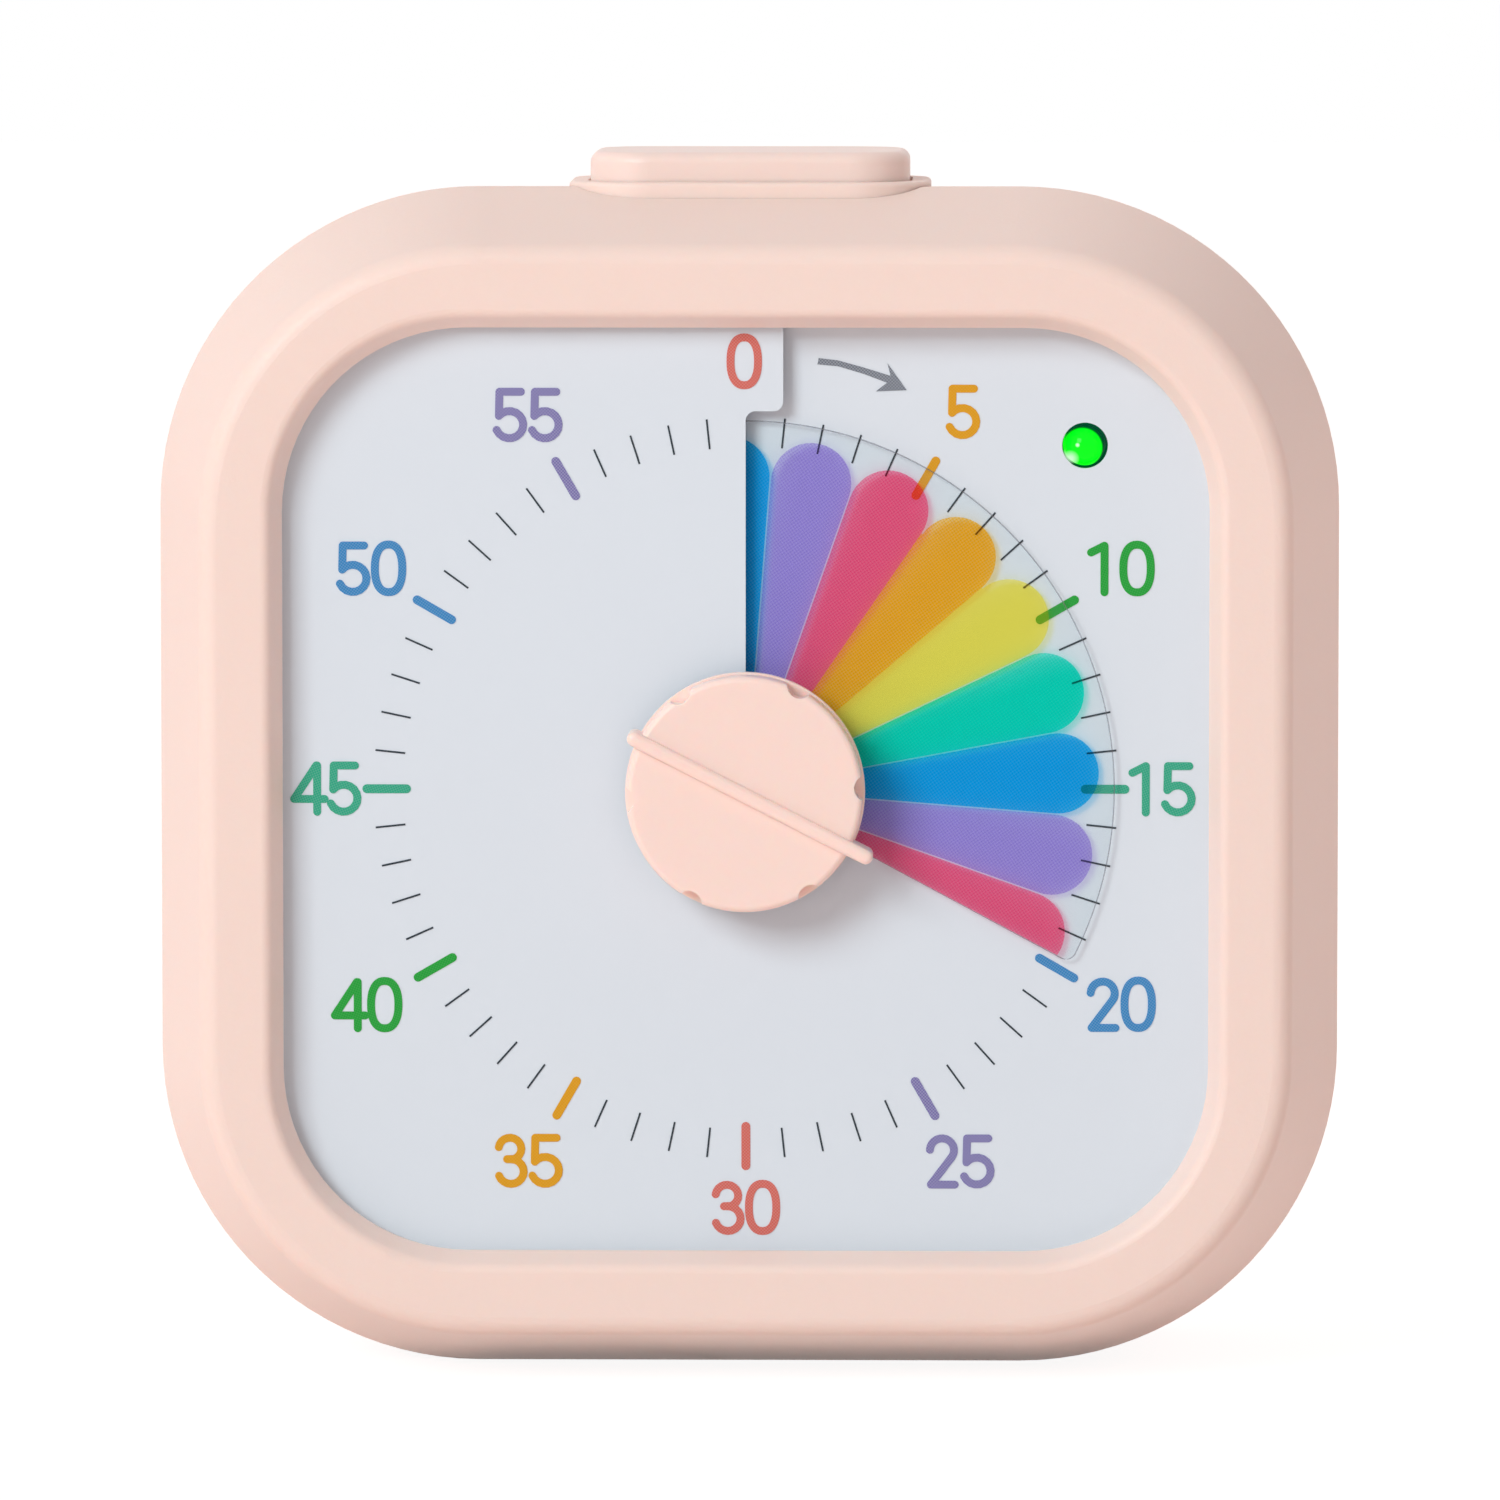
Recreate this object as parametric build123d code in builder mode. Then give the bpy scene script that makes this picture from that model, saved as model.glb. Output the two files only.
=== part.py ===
from build123d import *
import os
from math import acos, atan2, cos, degrees, hypot, pi, radians, sin, tan

# Visual countdown timer, in millimetres. +Z is up, +Y is away from the reader of the dial.
# X and Y are zero at the middle of the whole object, Z is zero on the table.
# "Depth" is measured backwards from the flat front face of the housing.

# ---------------------------------------------------------------- driving dimensions
# Housing
window_size = 66.7  # square opening round the dial
window_corner = 13.3
bevel_out = 0.95  # the inner bevel widens by this towards the reader
bevel_depth = 1.9
bevel_round = 0.8  # soft edge between the bevel and the flat face
face_band = 4.8  # flat front face, from the bevel to its outer edge
face_corner = 19.9
face_round = 1.5
flare_out = 3.9  # the sides widen by this behind the front face
body_corner = 23.2
body_depth = 36.0
rear_depth = 18.8  # rear housing, from the seam to its back
seam_land = 2.0  # straight edge of the front housing, from the flare to the seam
rear_narrowing = 1.1  # each side draws in by this towards the back; the top drops by it
rear_corner = 22.0
rear_round = 3.0
underside_trim = 0.05  # taken off the rear housing's underside to leave it level
wall = 1.9
front_wall = 2.4
seam_lip = 1.0
seam_lip_length = 2.0
seam_chamfer = 0.3
case_boss_radius = 3.4
case_boss_inset = 12.0  # in from the widest side, along X and along Z

# Dial and film: two sheets, each one turn of the same shallow screw
dial_depth = 4.2  # dial face just right of the cut at 0
screw_rise = 1.3  # the dial face comes forward by this in one turn clockwise
dial_thickness = 0.4
dial_lap = 0.65  # dial hidden behind the window edge
dial_hole_radius = 3.7
step_radius = 27.3  # outside this the raised edge of the cut steps to the right
step_overlap = 2.7
step_round = 0.7
film_radius = 26.6
film_thickness = 0.2
film_gap = 0.35  # between the film and the dial face behind it
film_corner = 0.8
film_nose = 1.2  # degrees that the film reaches past the pointer
pointer_minutes = 19.5

# Dial carrier
carrier_depth = 5.8
carrier_plate = 1.6
carrier_gap = 0.9
chamber_gap = 1.0  # round the film's rim
carrier_post_radius = 1.6

# Knob, shaft and hub
knob_radius = 8.48
knob_front = -1.6
knob_back = 1.55
knob_flange = 0.15
knob_flange_thickness = 0.7
knob_edge_round = 0.45
knob_wall = 1.5
knob_notches = 6
notch_radius = 0.95
notch_bite = 0.6
bar_width = 1.05
bar_height = 0.8
bar_tail = 0.9  # beyond the knob's side
bar_nose = 1.8
knob_boss_radius = 3.4
shaft_radius = 2.0
shaft_flat = 1.5  # half the width across the two flats
shaft_front = 0.1
hub_radius = 3.2
hub_margin = 0.3
slide_gap = 0.06
press_gap = 0.02
bush_radius = 3.2
bush_flange_radius = 4.2
bush_flange = 0.6
clip_radius = 3.4
clip_thickness = 0.5

# Movement
movement_depth = 9.4
movement_gap = 1.9  # between the movement and the battery bay
movement_split = 4.6
movement_wall = 1.0
movement_room = 1.2  # round the wheels
movement_round = 2.0
gear_module = 0.5
shaft_teeth = 48
pinion_teeth = 12
wheel_teeth = 40
rotor_teeth = 10
pressure_angle = 20.0
tooth_head = 0.85  # in modules, outside the pitch circle
tooth_foot = 1.15  # in modules, inside it
gear_backlash = 0.10
rotor_bearing = 16.0  # degrees below the X axis, seen from the reduction wheel
arbor_radius = 0.6
magnet_radius = 3.0
stator_gap = 0.4
stator_leg = 3.0
layer_count = 20  # wheels, stator and coil share the movement's inner length
ear_radius = 2.2
ear_thickness = 1.4

# Electronics
board_sheet = 1.0
board_side_gap = 6.35  # in from the window's sides
board_top_gap = 1.15  # up past the window's top edge
board_low_gap = 2.4  # above the movement
board_corner = 1.0
board_spot_gap = 1.0  # between the LED and the screw beside it
board_rise = 2.2  # board behind the carrier plate
chip_length = 8.0
chip_width = 6.0
chip_height = 1.5
led_side = 8.95  # in from the window's right side
led_drop = 8.55  # down from the window's top edge
led_radius = 1.5
led_hole_radius = 1.65
led_proud = 0.35
led_collar = 0.4

# Button
button_width = 23.3
button_length = 16.0
button_corner = 4.3
button_height = 2.15  # above the collar
button_round = 0.8
button_wall = 1.4
button_gap = 0.2
button_travel = 0.6
button_lip = 0.9
button_lip_thickness = 1.0
button_stem_radius = 1.9
collar_wall = 1.35
collar_height = 0.4  # above the widest section of the housing
collar_back_gap = 1.7  # between the collar's flange and the rear wall
collar_flange = 0.9
collar_flange_thickness = 1.2
collar_drop = 1.2  # flange below the inside of the top wall
switch_width = 6.0
switch_height = 3.4
plunger_radius = 1.6
plunger_height = 1.2
spring_radius = 5.2
spring_wire = 0.3
spring_turns = 4
board_drop = 5.5  # from the pressed button to its board

# Battery bay and rear fittings
cell_radius = 5.25
cell_length = 44.5
cell_pitch = 11.6
cell_nipple_radius = 1.9
cell_nipple_height = 1.0
cell_round = 0.4
cell_gap = 0.5
contact_room = 3.4  # at each end of the cells
contact_sheet = 0.4
bay_wall = 1.3
bay_ledge = 1.2
bay_centre = -17.5
door_gap = 0.25
door_pin_radius = 0.55
door_pin_length = 1.0
buzzer_radius = 8.0
buzzer_height = 4.4
buzzer_round = 0.6
buzzer_hole_radius = 1.3
rear_fitting_x = 20.0
rear_fitting_z = 9.0
grille_hole_radius = 0.6
grille_pitch = 2.1
slider_travel = 2.0  # each way from the middle
slider_width = 2.6
slider_height = 2.2
switch_body_length = 9.0
switch_body_width = 4.4
switch_body_depth = 3.2
fitting_wall = 1.1
fitting_gap = 0.1

# Screws
case_screw_radius = 1.3
case_screw_head = 2.4
case_screw_head_height = 1.8
case_screw_grip = 10.7  # rear boss under the head
case_screw_tip_gap = 2.6
small_screw_radius = 0.8
small_screw_head = 1.5
small_screw_head_height = 0.9
screw_gap = 0.15
cross_length = 1.3  # cross recess, in head radii
cross_width = 0.25

# ---------------------------------------------------------------- values worked out from them
face_size = window_size + 2 * (bevel_out + face_band)
body_size = face_size + 2 * flare_out
dial_z = body_size / 2
seam_depth = body_depth - rear_depth
flare_depth = seam_depth - seam_land
rear_inner = body_depth - wall
led_x = window_size / 2 - led_side
led_z = window_size / 2 - led_drop
bar_front = knob_front - bar_height
front_y = -(body_depth - bar_front) / 2 - bar_front
pointer_angle = pointer_minutes * 6
dial_size = window_size + 2 * dial_lap
dial_corner = window_corner + dial_lap
film_depth = dial_depth - film_gap - film_thickness
carrier_back = carrier_depth + carrier_plate
boss_offset = body_size / 2 - case_boss_inset
button_depth = (
    rear_inner - collar_back_gap - collar_flange - collar_wall - button_gap - button_length / 2
)
collar_top = body_size + collar_height
collar_flange_top = body_size - wall - collar_drop
collar_bottom = collar_flange_top - collar_flange_thickness
button_top = collar_top + button_height
lip_top = collar_bottom - press_gap
lip_bottom = lip_top - button_lip_thickness
board_top = lip_bottom - button_travel - board_drop
bay_front = rear_inner - 2 * cell_radius - 2 * cell_gap
movement_back = bay_front - bay_wall - movement_gap
movement_length = movement_back - movement_depth
layer = (movement_length - 2 * movement_wall) / layer_count
gear_gap = layer
gear_thickness = 3 * layer
stator_sheet = 3 * layer
coil_wall = 3 * layer
magnet_length = 7 * layer
big_depth = 3 * body_depth


def at_depth(depth, x=0.0, z=0.0, turn=90.0):
    """A plane facing the reader, depth behind the front face; its X points turn degrees past 12."""
    x_dir = (sin(radians(turn)), 0, cos(radians(turn)))
    return Plane(origin=(x, front_y + depth, dial_z + z), x_dir=x_dir, z_dir=(0, -1, 0))


def from_behind(depth):
    """A plane facing away from the reader, whose X therefore runs to the reader's left."""
    return Plane(origin=(0, front_y + depth, dial_z), x_dir=(-1, 0, 0), z_dir=(0, 1, 0))


def at_height(height, depth):
    """A level plane facing up, height above the table, centred depth behind the front face."""
    return Plane(origin=(0, front_y + depth, height), x_dir=(1, 0, 0), z_dir=(0, 0, 1))


def flared(depth):
    """Half the housing's outer width at a depth."""
    return face_size / 2 + flare_out * min(depth / flare_depth, 1.0)


def flared_corner(depth):
    """The housing's outer corner radius at a depth."""
    return face_corner + (body_corner - face_corner) * min(depth / flare_depth, 1.0)


def four_corners(offset):
    """The four points offset from the dial's centre along X and Z."""
    return [(sx * offset, sz * offset) for sx in (-1, 1) for sz in (-1, 1)]


def screw_sheet(inner, outer, start, turn, depth, thickness):
    """One sheet shaped as a shallow screw about the dial's axis.

    It starts at start degrees clockwise from 12 and runs clockwise through turn degrees,
    coming forward by screw_rise in each full turn. depth is its front face at 12 o'clock.
    """
    first_depth = depth - screw_rise * start / 360
    origin = (0, front_y + first_depth, dial_z)
    ray = (sin(radians(start)), 0, cos(radians(start)))
    side = (cos(radians(start)), 0, -sin(radians(start)))
    axis_plane = Plane(origin=origin, x_dir=ray, z_dir=(0, -1, 0))
    middle = (inner + outer) / 2
    helix = axis_plane.location * Edge.make_helix(
        screw_rise, screw_rise * turn / 360, middle, lefthand=True
    )
    with BuildPart() as sheet:
        with BuildLine() as path:
            add(helix)
        with BuildSketch(Plane(origin=origin, x_dir=ray, z_dir=side)):
            with Locations((middle, -thickness / 2)):
                Rectangle(outer - inner, thickness)
        sweep(path=path.wires()[0], is_frenet=True)
    return sheet.part


def gear_points(teeth):
    """The outline of an involute spur gear, with its first tooth on the plane's X axis."""
    pitch = gear_module * teeth / 2
    base = pitch * cos(radians(pressure_angle))
    tip = pitch + tooth_head * gear_module
    root = pitch - tooth_foot * gear_module
    half_tooth = pi / (2 * teeth) - gear_backlash / (2 * pitch)

    def flank(radius):
        """Half the tooth's angle at a radius."""
        turn = acos(base / radius) if radius > base else 0.0
        at_pitch = tan(radians(pressure_angle)) - radians(pressure_angle)
        return half_tooth + at_pitch - (tan(turn) - turn)

    radii = [root, max(root, base), pitch, tip]
    points = []
    for tooth in range(teeth):
        centre = 2 * pi * tooth / teeth
        rising = [(radius, centre - flank(radius)) for radius in radii]
        falling = [(radius, centre + flank(radius)) for radius in reversed(radii)]
        points += [(radius * cos(a), radius * sin(a)) for radius, a in rising + falling]
    return points


def distinct(points):
    """The points without repeats that lie side by side."""
    kept = []
    for point in points:
        if not kept or hypot(point[0] - kept[-1][0], point[1] - kept[-1][1]) > 1e-4:
            kept.append(point)
    return kept


def save(part, name):
    """Label a finished piece and write its STEP file."""
    part.label = name
    export_step(part, f"parts/{name}.step")
    made.append(name)


os.makedirs("parts", exist_ok=True)
made = []

# ---------------------------------------------------------------- front housing
# A square bezel with generous corners: flat face, bevelled window, sides that flare back.
with BuildPart() as collar_cut:
    with BuildSketch(at_height(collar_bottom, button_depth)):
        RectangleRounded(
            button_width + 2 * (button_gap + collar_wall + fitting_gap),
            button_length + 2 * (button_gap + collar_wall + fitting_gap),
            button_corner + button_gap + collar_wall,
        )
    extrude(amount=body_size)

with BuildPart() as front_housing:
    with BuildSketch(at_depth(0)):
        RectangleRounded(face_size, face_size, face_corner)
    with BuildSketch(at_depth(flare_depth)):
        RectangleRounded(body_size, body_size, body_corner)
    loft(ruled=True)
    fillet(front_housing.edges().group_by(Axis.Y)[0], face_round)
    with BuildSketch(at_depth(flare_depth)):
        RectangleRounded(body_size, body_size, body_corner)
    extrude(amount=flare_depth - seam_depth)
    chamfer(front_housing.edges().group_by(Axis.Y)[-1], seam_chamfer)
    # Inside, the wall keeps its thickness along the flare
    inside = 2 * (flared(front_wall) - wall)
    with BuildSketch(at_depth(front_wall)):
        RectangleRounded(inside, inside, flared_corner(front_wall) - wall)
    with BuildSketch(at_depth(flare_depth)):
        RectangleRounded(body_size - 2 * wall, body_size - 2 * wall, body_corner - wall)
    loft(ruled=True, mode=Mode.SUBTRACT)
    with BuildSketch(at_depth(flare_depth)):
        RectangleRounded(body_size - 2 * wall, body_size - 2 * wall, body_corner - wall)
    extrude(amount=flare_depth - seam_depth, mode=Mode.SUBTRACT)
    # Window with its bevel
    with BuildSketch(at_depth(0)):
        RectangleRounded(
            window_size + 2 * bevel_out, window_size + 2 * bevel_out, window_corner + bevel_out
        )
    with BuildSketch(at_depth(bevel_depth)):
        RectangleRounded(window_size, window_size, window_corner)
    loft(ruled=True, mode=Mode.SUBTRACT)
    bevel_reach = window_size / 2 + bevel_out + press_gap
    face_edges = front_housing.edges().group_by(Axis.Y)[0]
    fillet(
        face_edges.filter_by(
            lambda edge: max(abs(edge.center().X), abs(edge.center().Z - dial_z)) < bevel_reach
        ),
        bevel_round,
    )
    with BuildSketch(at_depth(bevel_depth)):
        RectangleRounded(window_size, window_size, window_corner)
    extrude(amount=bevel_depth - front_wall, mode=Mode.SUBTRACT)
    # Case screw bosses behind the carrier, each tied to its corner by a rib
    with BuildSketch(at_depth(seam_depth)):
        with Locations(*four_corners(boss_offset)):
            Circle(case_boss_radius)
    extrude(amount=seam_depth - carrier_back - screw_gap)
    rib_back = seam_depth - seam_lip_length - screw_gap
    with BuildSketch(at_depth(rib_back)):
        for x, z in four_corners(boss_offset):
            with Locations(Location((x, z, 0), (0, 0, degrees(atan2(z, x))))):
                Rectangle(case_boss_radius + wall / 3, wall, align=(Align.MIN, Align.CENTER))
    extrude(amount=rib_back - carrier_back - screw_gap)
    with BuildSketch(at_depth(seam_depth)):
        with Locations(*four_corners(boss_offset)):
            Circle(case_screw_radius + press_gap)
    extrude(amount=seam_depth - carrier_back - wall, mode=Mode.SUBTRACT)
    # Short posts that the carrier is screwed to, beside the dial
    post_x = dial_size / 2 + screw_gap + carrier_post_radius
    post_z = dial_size / 5
    post_spots = [(sx * post_x, sz * post_z) for sx in (-1, 1) for sz in (-1, 1)]
    with BuildSketch(at_depth(carrier_depth)):
        with Locations(*post_spots):
            Circle(carrier_post_radius)
    extrude(amount=carrier_depth - front_wall)
    with BuildSketch(at_depth(carrier_depth)):
        with Locations(*post_spots):
            Circle(small_screw_radius + press_gap)
    extrude(amount=carrier_depth - front_wall, mode=Mode.SUBTRACT)
    # Half of the opening for the button's collar
    add(collar_cut.part, mode=Mode.SUBTRACT)
save(front_housing.part, "front_housing")

# ---------------------------------------------------------------- rear housing
# A shallow cover: level underside, sides and top that draw in a little towards the back.
rear_width = body_size - 2 * rear_narrowing
rear_height = body_size - rear_narrowing
rear_shift = -rear_narrowing / 2
bay_width = cell_length + 2 * contact_room
bay_height = cell_pitch + 2 * cell_radius + 2 * cell_gap
door_width = bay_width + 2 * bay_ledge
door_height = bay_height + 2 * bay_ledge
door_hinge_z = bay_centre - door_height / 2 + wall / 2
door_hinge_depth = body_depth - wall / 2
slot_length = slider_width + 2 * slider_travel + 4 * fitting_gap
slot_height = slider_height + 4 * fitting_gap
shelf_x = button_width / 2 - small_screw_head - screw_gap
shelf_spots = [(-shelf_x, 0), (shelf_x, 0)]
screw_head_depth = seam_depth + case_screw_grip
case_screw_length = screw_head_depth - (carrier_back + wall + case_screw_tip_gap)

with BuildPart() as rear_housing:
    with BuildSketch(at_depth(seam_depth, z=-underside_trim / 2)):
        RectangleRounded(body_size, body_size + underside_trim, body_corner)
    with BuildSketch(at_depth(body_depth, z=rear_shift - underside_trim / 2)):
        RectangleRounded(rear_width, rear_height + underside_trim, rear_corner)
    loft(ruled=True)
    fillet(rear_housing.edges().group_by(Axis.Y)[-1], rear_round)
    chamfer(rear_housing.edges().group_by(Axis.Y)[0], seam_chamfer)
    with BuildSketch(Plane.XY):
        Rectangle(2 * body_size, 2 * body_size)
    extrude(amount=-wall, mode=Mode.SUBTRACT)
    with BuildSketch(at_depth(seam_depth)):
        RectangleRounded(body_size - 2 * wall, body_size - 2 * wall, body_corner - wall)
    with BuildSketch(at_depth(rear_inner, z=rear_shift)):
        RectangleRounded(rear_width - 2 * wall, rear_height - 2 * wall, rear_corner - wall)
    loft(ruled=True, mode=Mode.SUBTRACT)
    # Lip that centres the front housing
    lip_outer = body_size - 2 * wall - 2 * fitting_gap
    lip_inner = lip_outer - 2 * seam_lip
    with BuildSketch(at_depth(seam_depth)):
        RectangleRounded(lip_outer, lip_outer, body_corner - wall - fitting_gap)
        RectangleRounded(
            lip_inner, lip_inner, body_corner - wall - fitting_gap - seam_lip, mode=Mode.SUBTRACT
        )
    extrude(amount=seam_lip_length)
    with BuildSketch(at_depth(seam_depth)):
        RectangleRounded(body_size - wall, body_size - wall, body_corner - wall / 2)
        RectangleRounded(
            lip_inner, lip_inner, body_corner - wall - fitting_gap - seam_lip, mode=Mode.SUBTRACT
        )
    extrude(amount=-seam_lip_length)
    # Case screw bosses
    with BuildSketch(at_depth(seam_depth)):
        with Locations(*four_corners(boss_offset)):
            Circle(case_boss_radius)
    extrude(amount=seam_depth - rear_inner)
    # Battery bay
    with BuildSketch(at_depth(bay_front - bay_wall, z=bay_centre)):
        Rectangle(bay_width + 2 * bay_wall, bay_height + 2 * bay_wall)
    extrude(amount=bay_front - bay_wall - rear_inner)
    with BuildSketch(at_depth(rear_inner - wall, z=bay_centre)):
        Rectangle(door_width + 2 * (door_gap + bay_wall), door_height + 2 * (door_gap + bay_wall))
    extrude(amount=-wall)
    with BuildSketch(at_depth(bay_front, z=bay_centre)):
        Rectangle(bay_width, bay_height)
    extrude(amount=bay_front - big_depth, mode=Mode.SUBTRACT)
    with BuildSketch(at_depth(rear_inner, z=bay_centre)):
        Rectangle(door_width + 2 * door_gap, door_height + 2 * door_gap)
    extrude(amount=-wall, mode=Mode.SUBTRACT)
    with BuildSketch(Plane.YZ.offset(-(door_width / 2 + door_gap + door_pin_length))):
        with Locations((front_y + door_hinge_depth, dial_z + door_hinge_z)):
            Circle(door_pin_radius + slide_gap)
    extrude(amount=door_width + 2 * (door_gap + door_pin_length), mode=Mode.SUBTRACT)
    # Bores and deep counterbores for the case screws
    with BuildSketch(at_depth(seam_depth)):
        with Locations(*four_corners(boss_offset)):
            Circle(case_screw_radius + screw_gap)
    extrude(amount=seam_depth - big_depth, mode=Mode.SUBTRACT)
    with BuildSketch(at_depth(screw_head_depth)):
        with Locations(*four_corners(boss_offset)):
            Circle(case_screw_head + screw_gap)
    extrude(amount=screw_head_depth - big_depth, mode=Mode.SUBTRACT)
    # Thumb notch over the door's free edge
    with BuildSketch(at_depth(body_depth - wall / 2, z=bay_centre + door_height / 2 + door_gap)):
        SlotOverall(4 * wall, 2 * wall)
    extrude(amount=-wall, mode=Mode.SUBTRACT)
    # Buzzer ring and grille
    with BuildSketch(at_depth(rear_inner, -rear_fitting_x, rear_fitting_z)):
        Circle(buzzer_radius + fitting_gap + fitting_wall)
        Circle(buzzer_radius + fitting_gap, mode=Mode.SUBTRACT)
    extrude(amount=buzzer_height)
    with BuildSketch(at_depth(rear_inner, -rear_fitting_x, rear_fitting_z)):
        Circle(grille_hole_radius)
        with PolarLocations(grille_pitch, 6):
            Circle(grille_hole_radius)
        with PolarLocations(2 * grille_pitch, 12):
            Circle(grille_hole_radius)
    extrude(amount=-2 * wall, mode=Mode.SUBTRACT)
    # Volume switch pocket, slot and finger dish
    with BuildSketch(at_depth(rear_inner, rear_fitting_x, rear_fitting_z)):
        Rectangle(
            switch_body_length + 2 * (fitting_gap + fitting_wall),
            switch_body_width + 2 * (fitting_gap + fitting_wall),
        )
        Rectangle(
            switch_body_length + 2 * fitting_gap,
            switch_body_width + 2 * fitting_gap,
            mode=Mode.SUBTRACT,
        )
    extrude(amount=switch_body_depth + wall)
    with BuildSketch(at_depth(rear_inner, rear_fitting_x, rear_fitting_z)):
        Rectangle(slot_length, slot_height)
    extrude(amount=-2 * wall, mode=Mode.SUBTRACT)
    with BuildSketch(at_depth(body_depth - wall / 2, rear_fitting_x, rear_fitting_z)):
        SlotOverall(slot_length + 3 * slider_height, 2.6 * slider_height)
    extrude(amount=-wall, mode=Mode.SUBTRACT)
    # Shelves for the button's board
    with BuildSketch(at_depth(rear_inner, z=board_top - board_sheet - dial_z)):
        with Locations(*shelf_spots):
            Rectangle(2 * small_screw_head, wall, align=(Align.CENTER, Align.MAX))
    extrude(amount=rear_inner - button_depth + button_length / 2)
    # The other half of the opening for the button's collar
    add(collar_cut.part, mode=Mode.SUBTRACT)
    with BuildSketch(at_height(board_top - board_sheet, button_depth)):
        with Locations(*shelf_spots):
            Circle(small_screw_radius + press_gap)
    extrude(amount=-wall, mode=Mode.SUBTRACT)
save(rear_housing.part, "rear_housing")

# ---------------------------------------------------------------- dial sheet
# One turn of a shallow screw, so that the film can pass through the cut at 0.
flap_back = dial_depth - screw_rise + dial_thickness
with BuildPart() as flap_trim:
    # What is cut from the raised edge of the sheet, right of the 12 o'clock line
    with BuildSketch(at_depth(flap_back + film_gap)):
        with BuildLine():
            line = Polyline(
                (0, 0),
                (0, step_radius),
                (step_overlap, step_radius),
                (step_overlap, dial_size),
                (dial_size, dial_size),
                (dial_size, 0),
                close=True,
            )
        make_face()
        fillet([v for v in vertices() if abs(v.Y - step_radius) < press_gap], step_round)
    extrude(amount=4 * screw_rise)

reach = dial_size
overlap_turn = degrees(atan2(2 * step_overlap, step_radius))
dial_blank = screw_sheet(
    dial_hole_radius / 2, reach, 0, 360 + overlap_turn, dial_depth, dial_thickness
)
with BuildPart() as dial_sheet:
    add(dial_blank)
    with BuildSketch(at_depth(carrier_depth)):
        RectangleRounded(dial_size, dial_size, dial_corner)
        Circle(dial_hole_radius, mode=Mode.SUBTRACT)
        with Locations((led_x, led_z)):
            Circle(led_hole_radius, mode=Mode.SUBTRACT)
    extrude(amount=big_depth, mode=Mode.INTERSECT)
    add(flap_trim.part, mode=Mode.SUBTRACT)
save(dial_sheet.part, "dial_sheet")

# ---------------------------------------------------------------- dial carrier
# Plate with a rim whose top is the same screw, on which the dial sheet lies.
carrier_size = 2 * (flared(carrier_depth) - wall - carrier_gap)
above_dial = [
    screw_sheet(
        dial_hole_radius / 2,
        reach,
        start,
        180,
        dial_depth - body_depth,
        body_depth + dial_thickness + press_gap,
    )
    for start in (0, 180)
]
board_depth = carrier_back + board_rise

# Wheel centres, seen from the front, about the dial's axis
reduction_z = -gear_module * (shaft_teeth + pinion_teeth) / 2
rotor_reach = gear_module * (wheel_teeth + rotor_teeth) / 2
rotor_x = rotor_reach * cos(radians(rotor_bearing))
rotor_z = reduction_z - rotor_reach * sin(radians(rotor_bearing))
shaft_tip = gear_module * (shaft_teeth / 2 + 1)
wheel_tip = gear_module * (wheel_teeth / 2 + 1)
stator_lobe = magnet_radius + stator_gap + stator_leg / 2
movement_left = -shaft_tip - movement_room
movement_right = rotor_x + stator_lobe + movement_room
movement_low = reduction_z - wheel_tip - movement_room
movement_high = shaft_tip + movement_room
movement_width = movement_right - movement_left + 2 * movement_wall
movement_height = movement_high - movement_low + 2 * movement_wall
movement_x = (movement_left + movement_right) / 2
movement_z = (movement_low + movement_high) / 2
ear_reach = movement_width / 2 + ear_radius + screw_gap
ear_spots = [(movement_x - ear_reach, movement_z), (movement_x + ear_reach, movement_z)]
split_depth = movement_depth + movement_split
board_low = movement_high + movement_wall + board_low_gap
board_height = window_size / 2 + board_top_gap - board_low
board_width = window_size - 2 * board_side_gap
board_centre_z = board_low + board_height / 2
board_spot_x = led_x - led_radius - 2 * led_collar - board_spot_gap - small_screw_head
board_spot_z = board_low + ear_radius
board_spots = [(-board_spot_x, board_spot_z), (board_spot_x, board_spot_z)]

with BuildPart() as dial_carrier:
    with BuildSketch(at_depth(carrier_back)):
        RectangleRounded(
            carrier_size, carrier_size, flared_corner(carrier_depth) - wall - carrier_gap
        )
    extrude(amount=carrier_plate)
    with BuildSketch(at_depth(carrier_depth)):
        RectangleRounded(dial_size, dial_size, dial_corner)
        Circle(film_radius + chamber_gap, mode=Mode.SUBTRACT)
    extrude(amount=carrier_depth - dial_depth + screw_rise)
    for half in above_dial:
        add(half, mode=Mode.SUBTRACT)
    # Posts for the board and for the movement
    with BuildSketch(at_depth(board_depth)):
        with Locations(*board_spots):
            Circle(ear_radius)
    extrude(amount=board_rise)
    with BuildSketch(at_depth(split_depth - ear_thickness)):
        with Locations(*ear_spots):
            Circle(ear_radius)
    extrude(amount=split_depth - ear_thickness - carrier_back)
    with BuildSketch(at_depth(split_depth)):
        with Locations(*board_spots, *ear_spots):
            Circle(small_screw_radius + press_gap)
    extrude(amount=split_depth - carrier_depth, mode=Mode.SUBTRACT)
    with BuildSketch(at_depth(split_depth)):
        with Locations(*post_spots):
            Circle(small_screw_radius + screw_gap)
        with Locations((led_x, led_z)):
            Circle(led_radius + 2 * led_collar)
        Circle(bush_radius + press_gap)
    extrude(amount=big_depth, mode=Mode.SUBTRACT)
save(dial_carrier.part, "dial_carrier")

with BuildPart() as shaft_bush:
    with BuildSketch(at_depth(carrier_back)):
        Circle(bush_radius)
    extrude(amount=carrier_plate)
    with BuildSketch(at_depth(carrier_back + bush_flange)):
        Circle(bush_flange_radius)
    extrude(amount=bush_flange)
    with BuildSketch(at_depth(carrier_back + bush_flange)):
        Circle(shaft_radius + slide_gap)
    extrude(amount=big_depth, mode=Mode.SUBTRACT)
save(shaft_bush.part, "shaft_bush")

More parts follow.
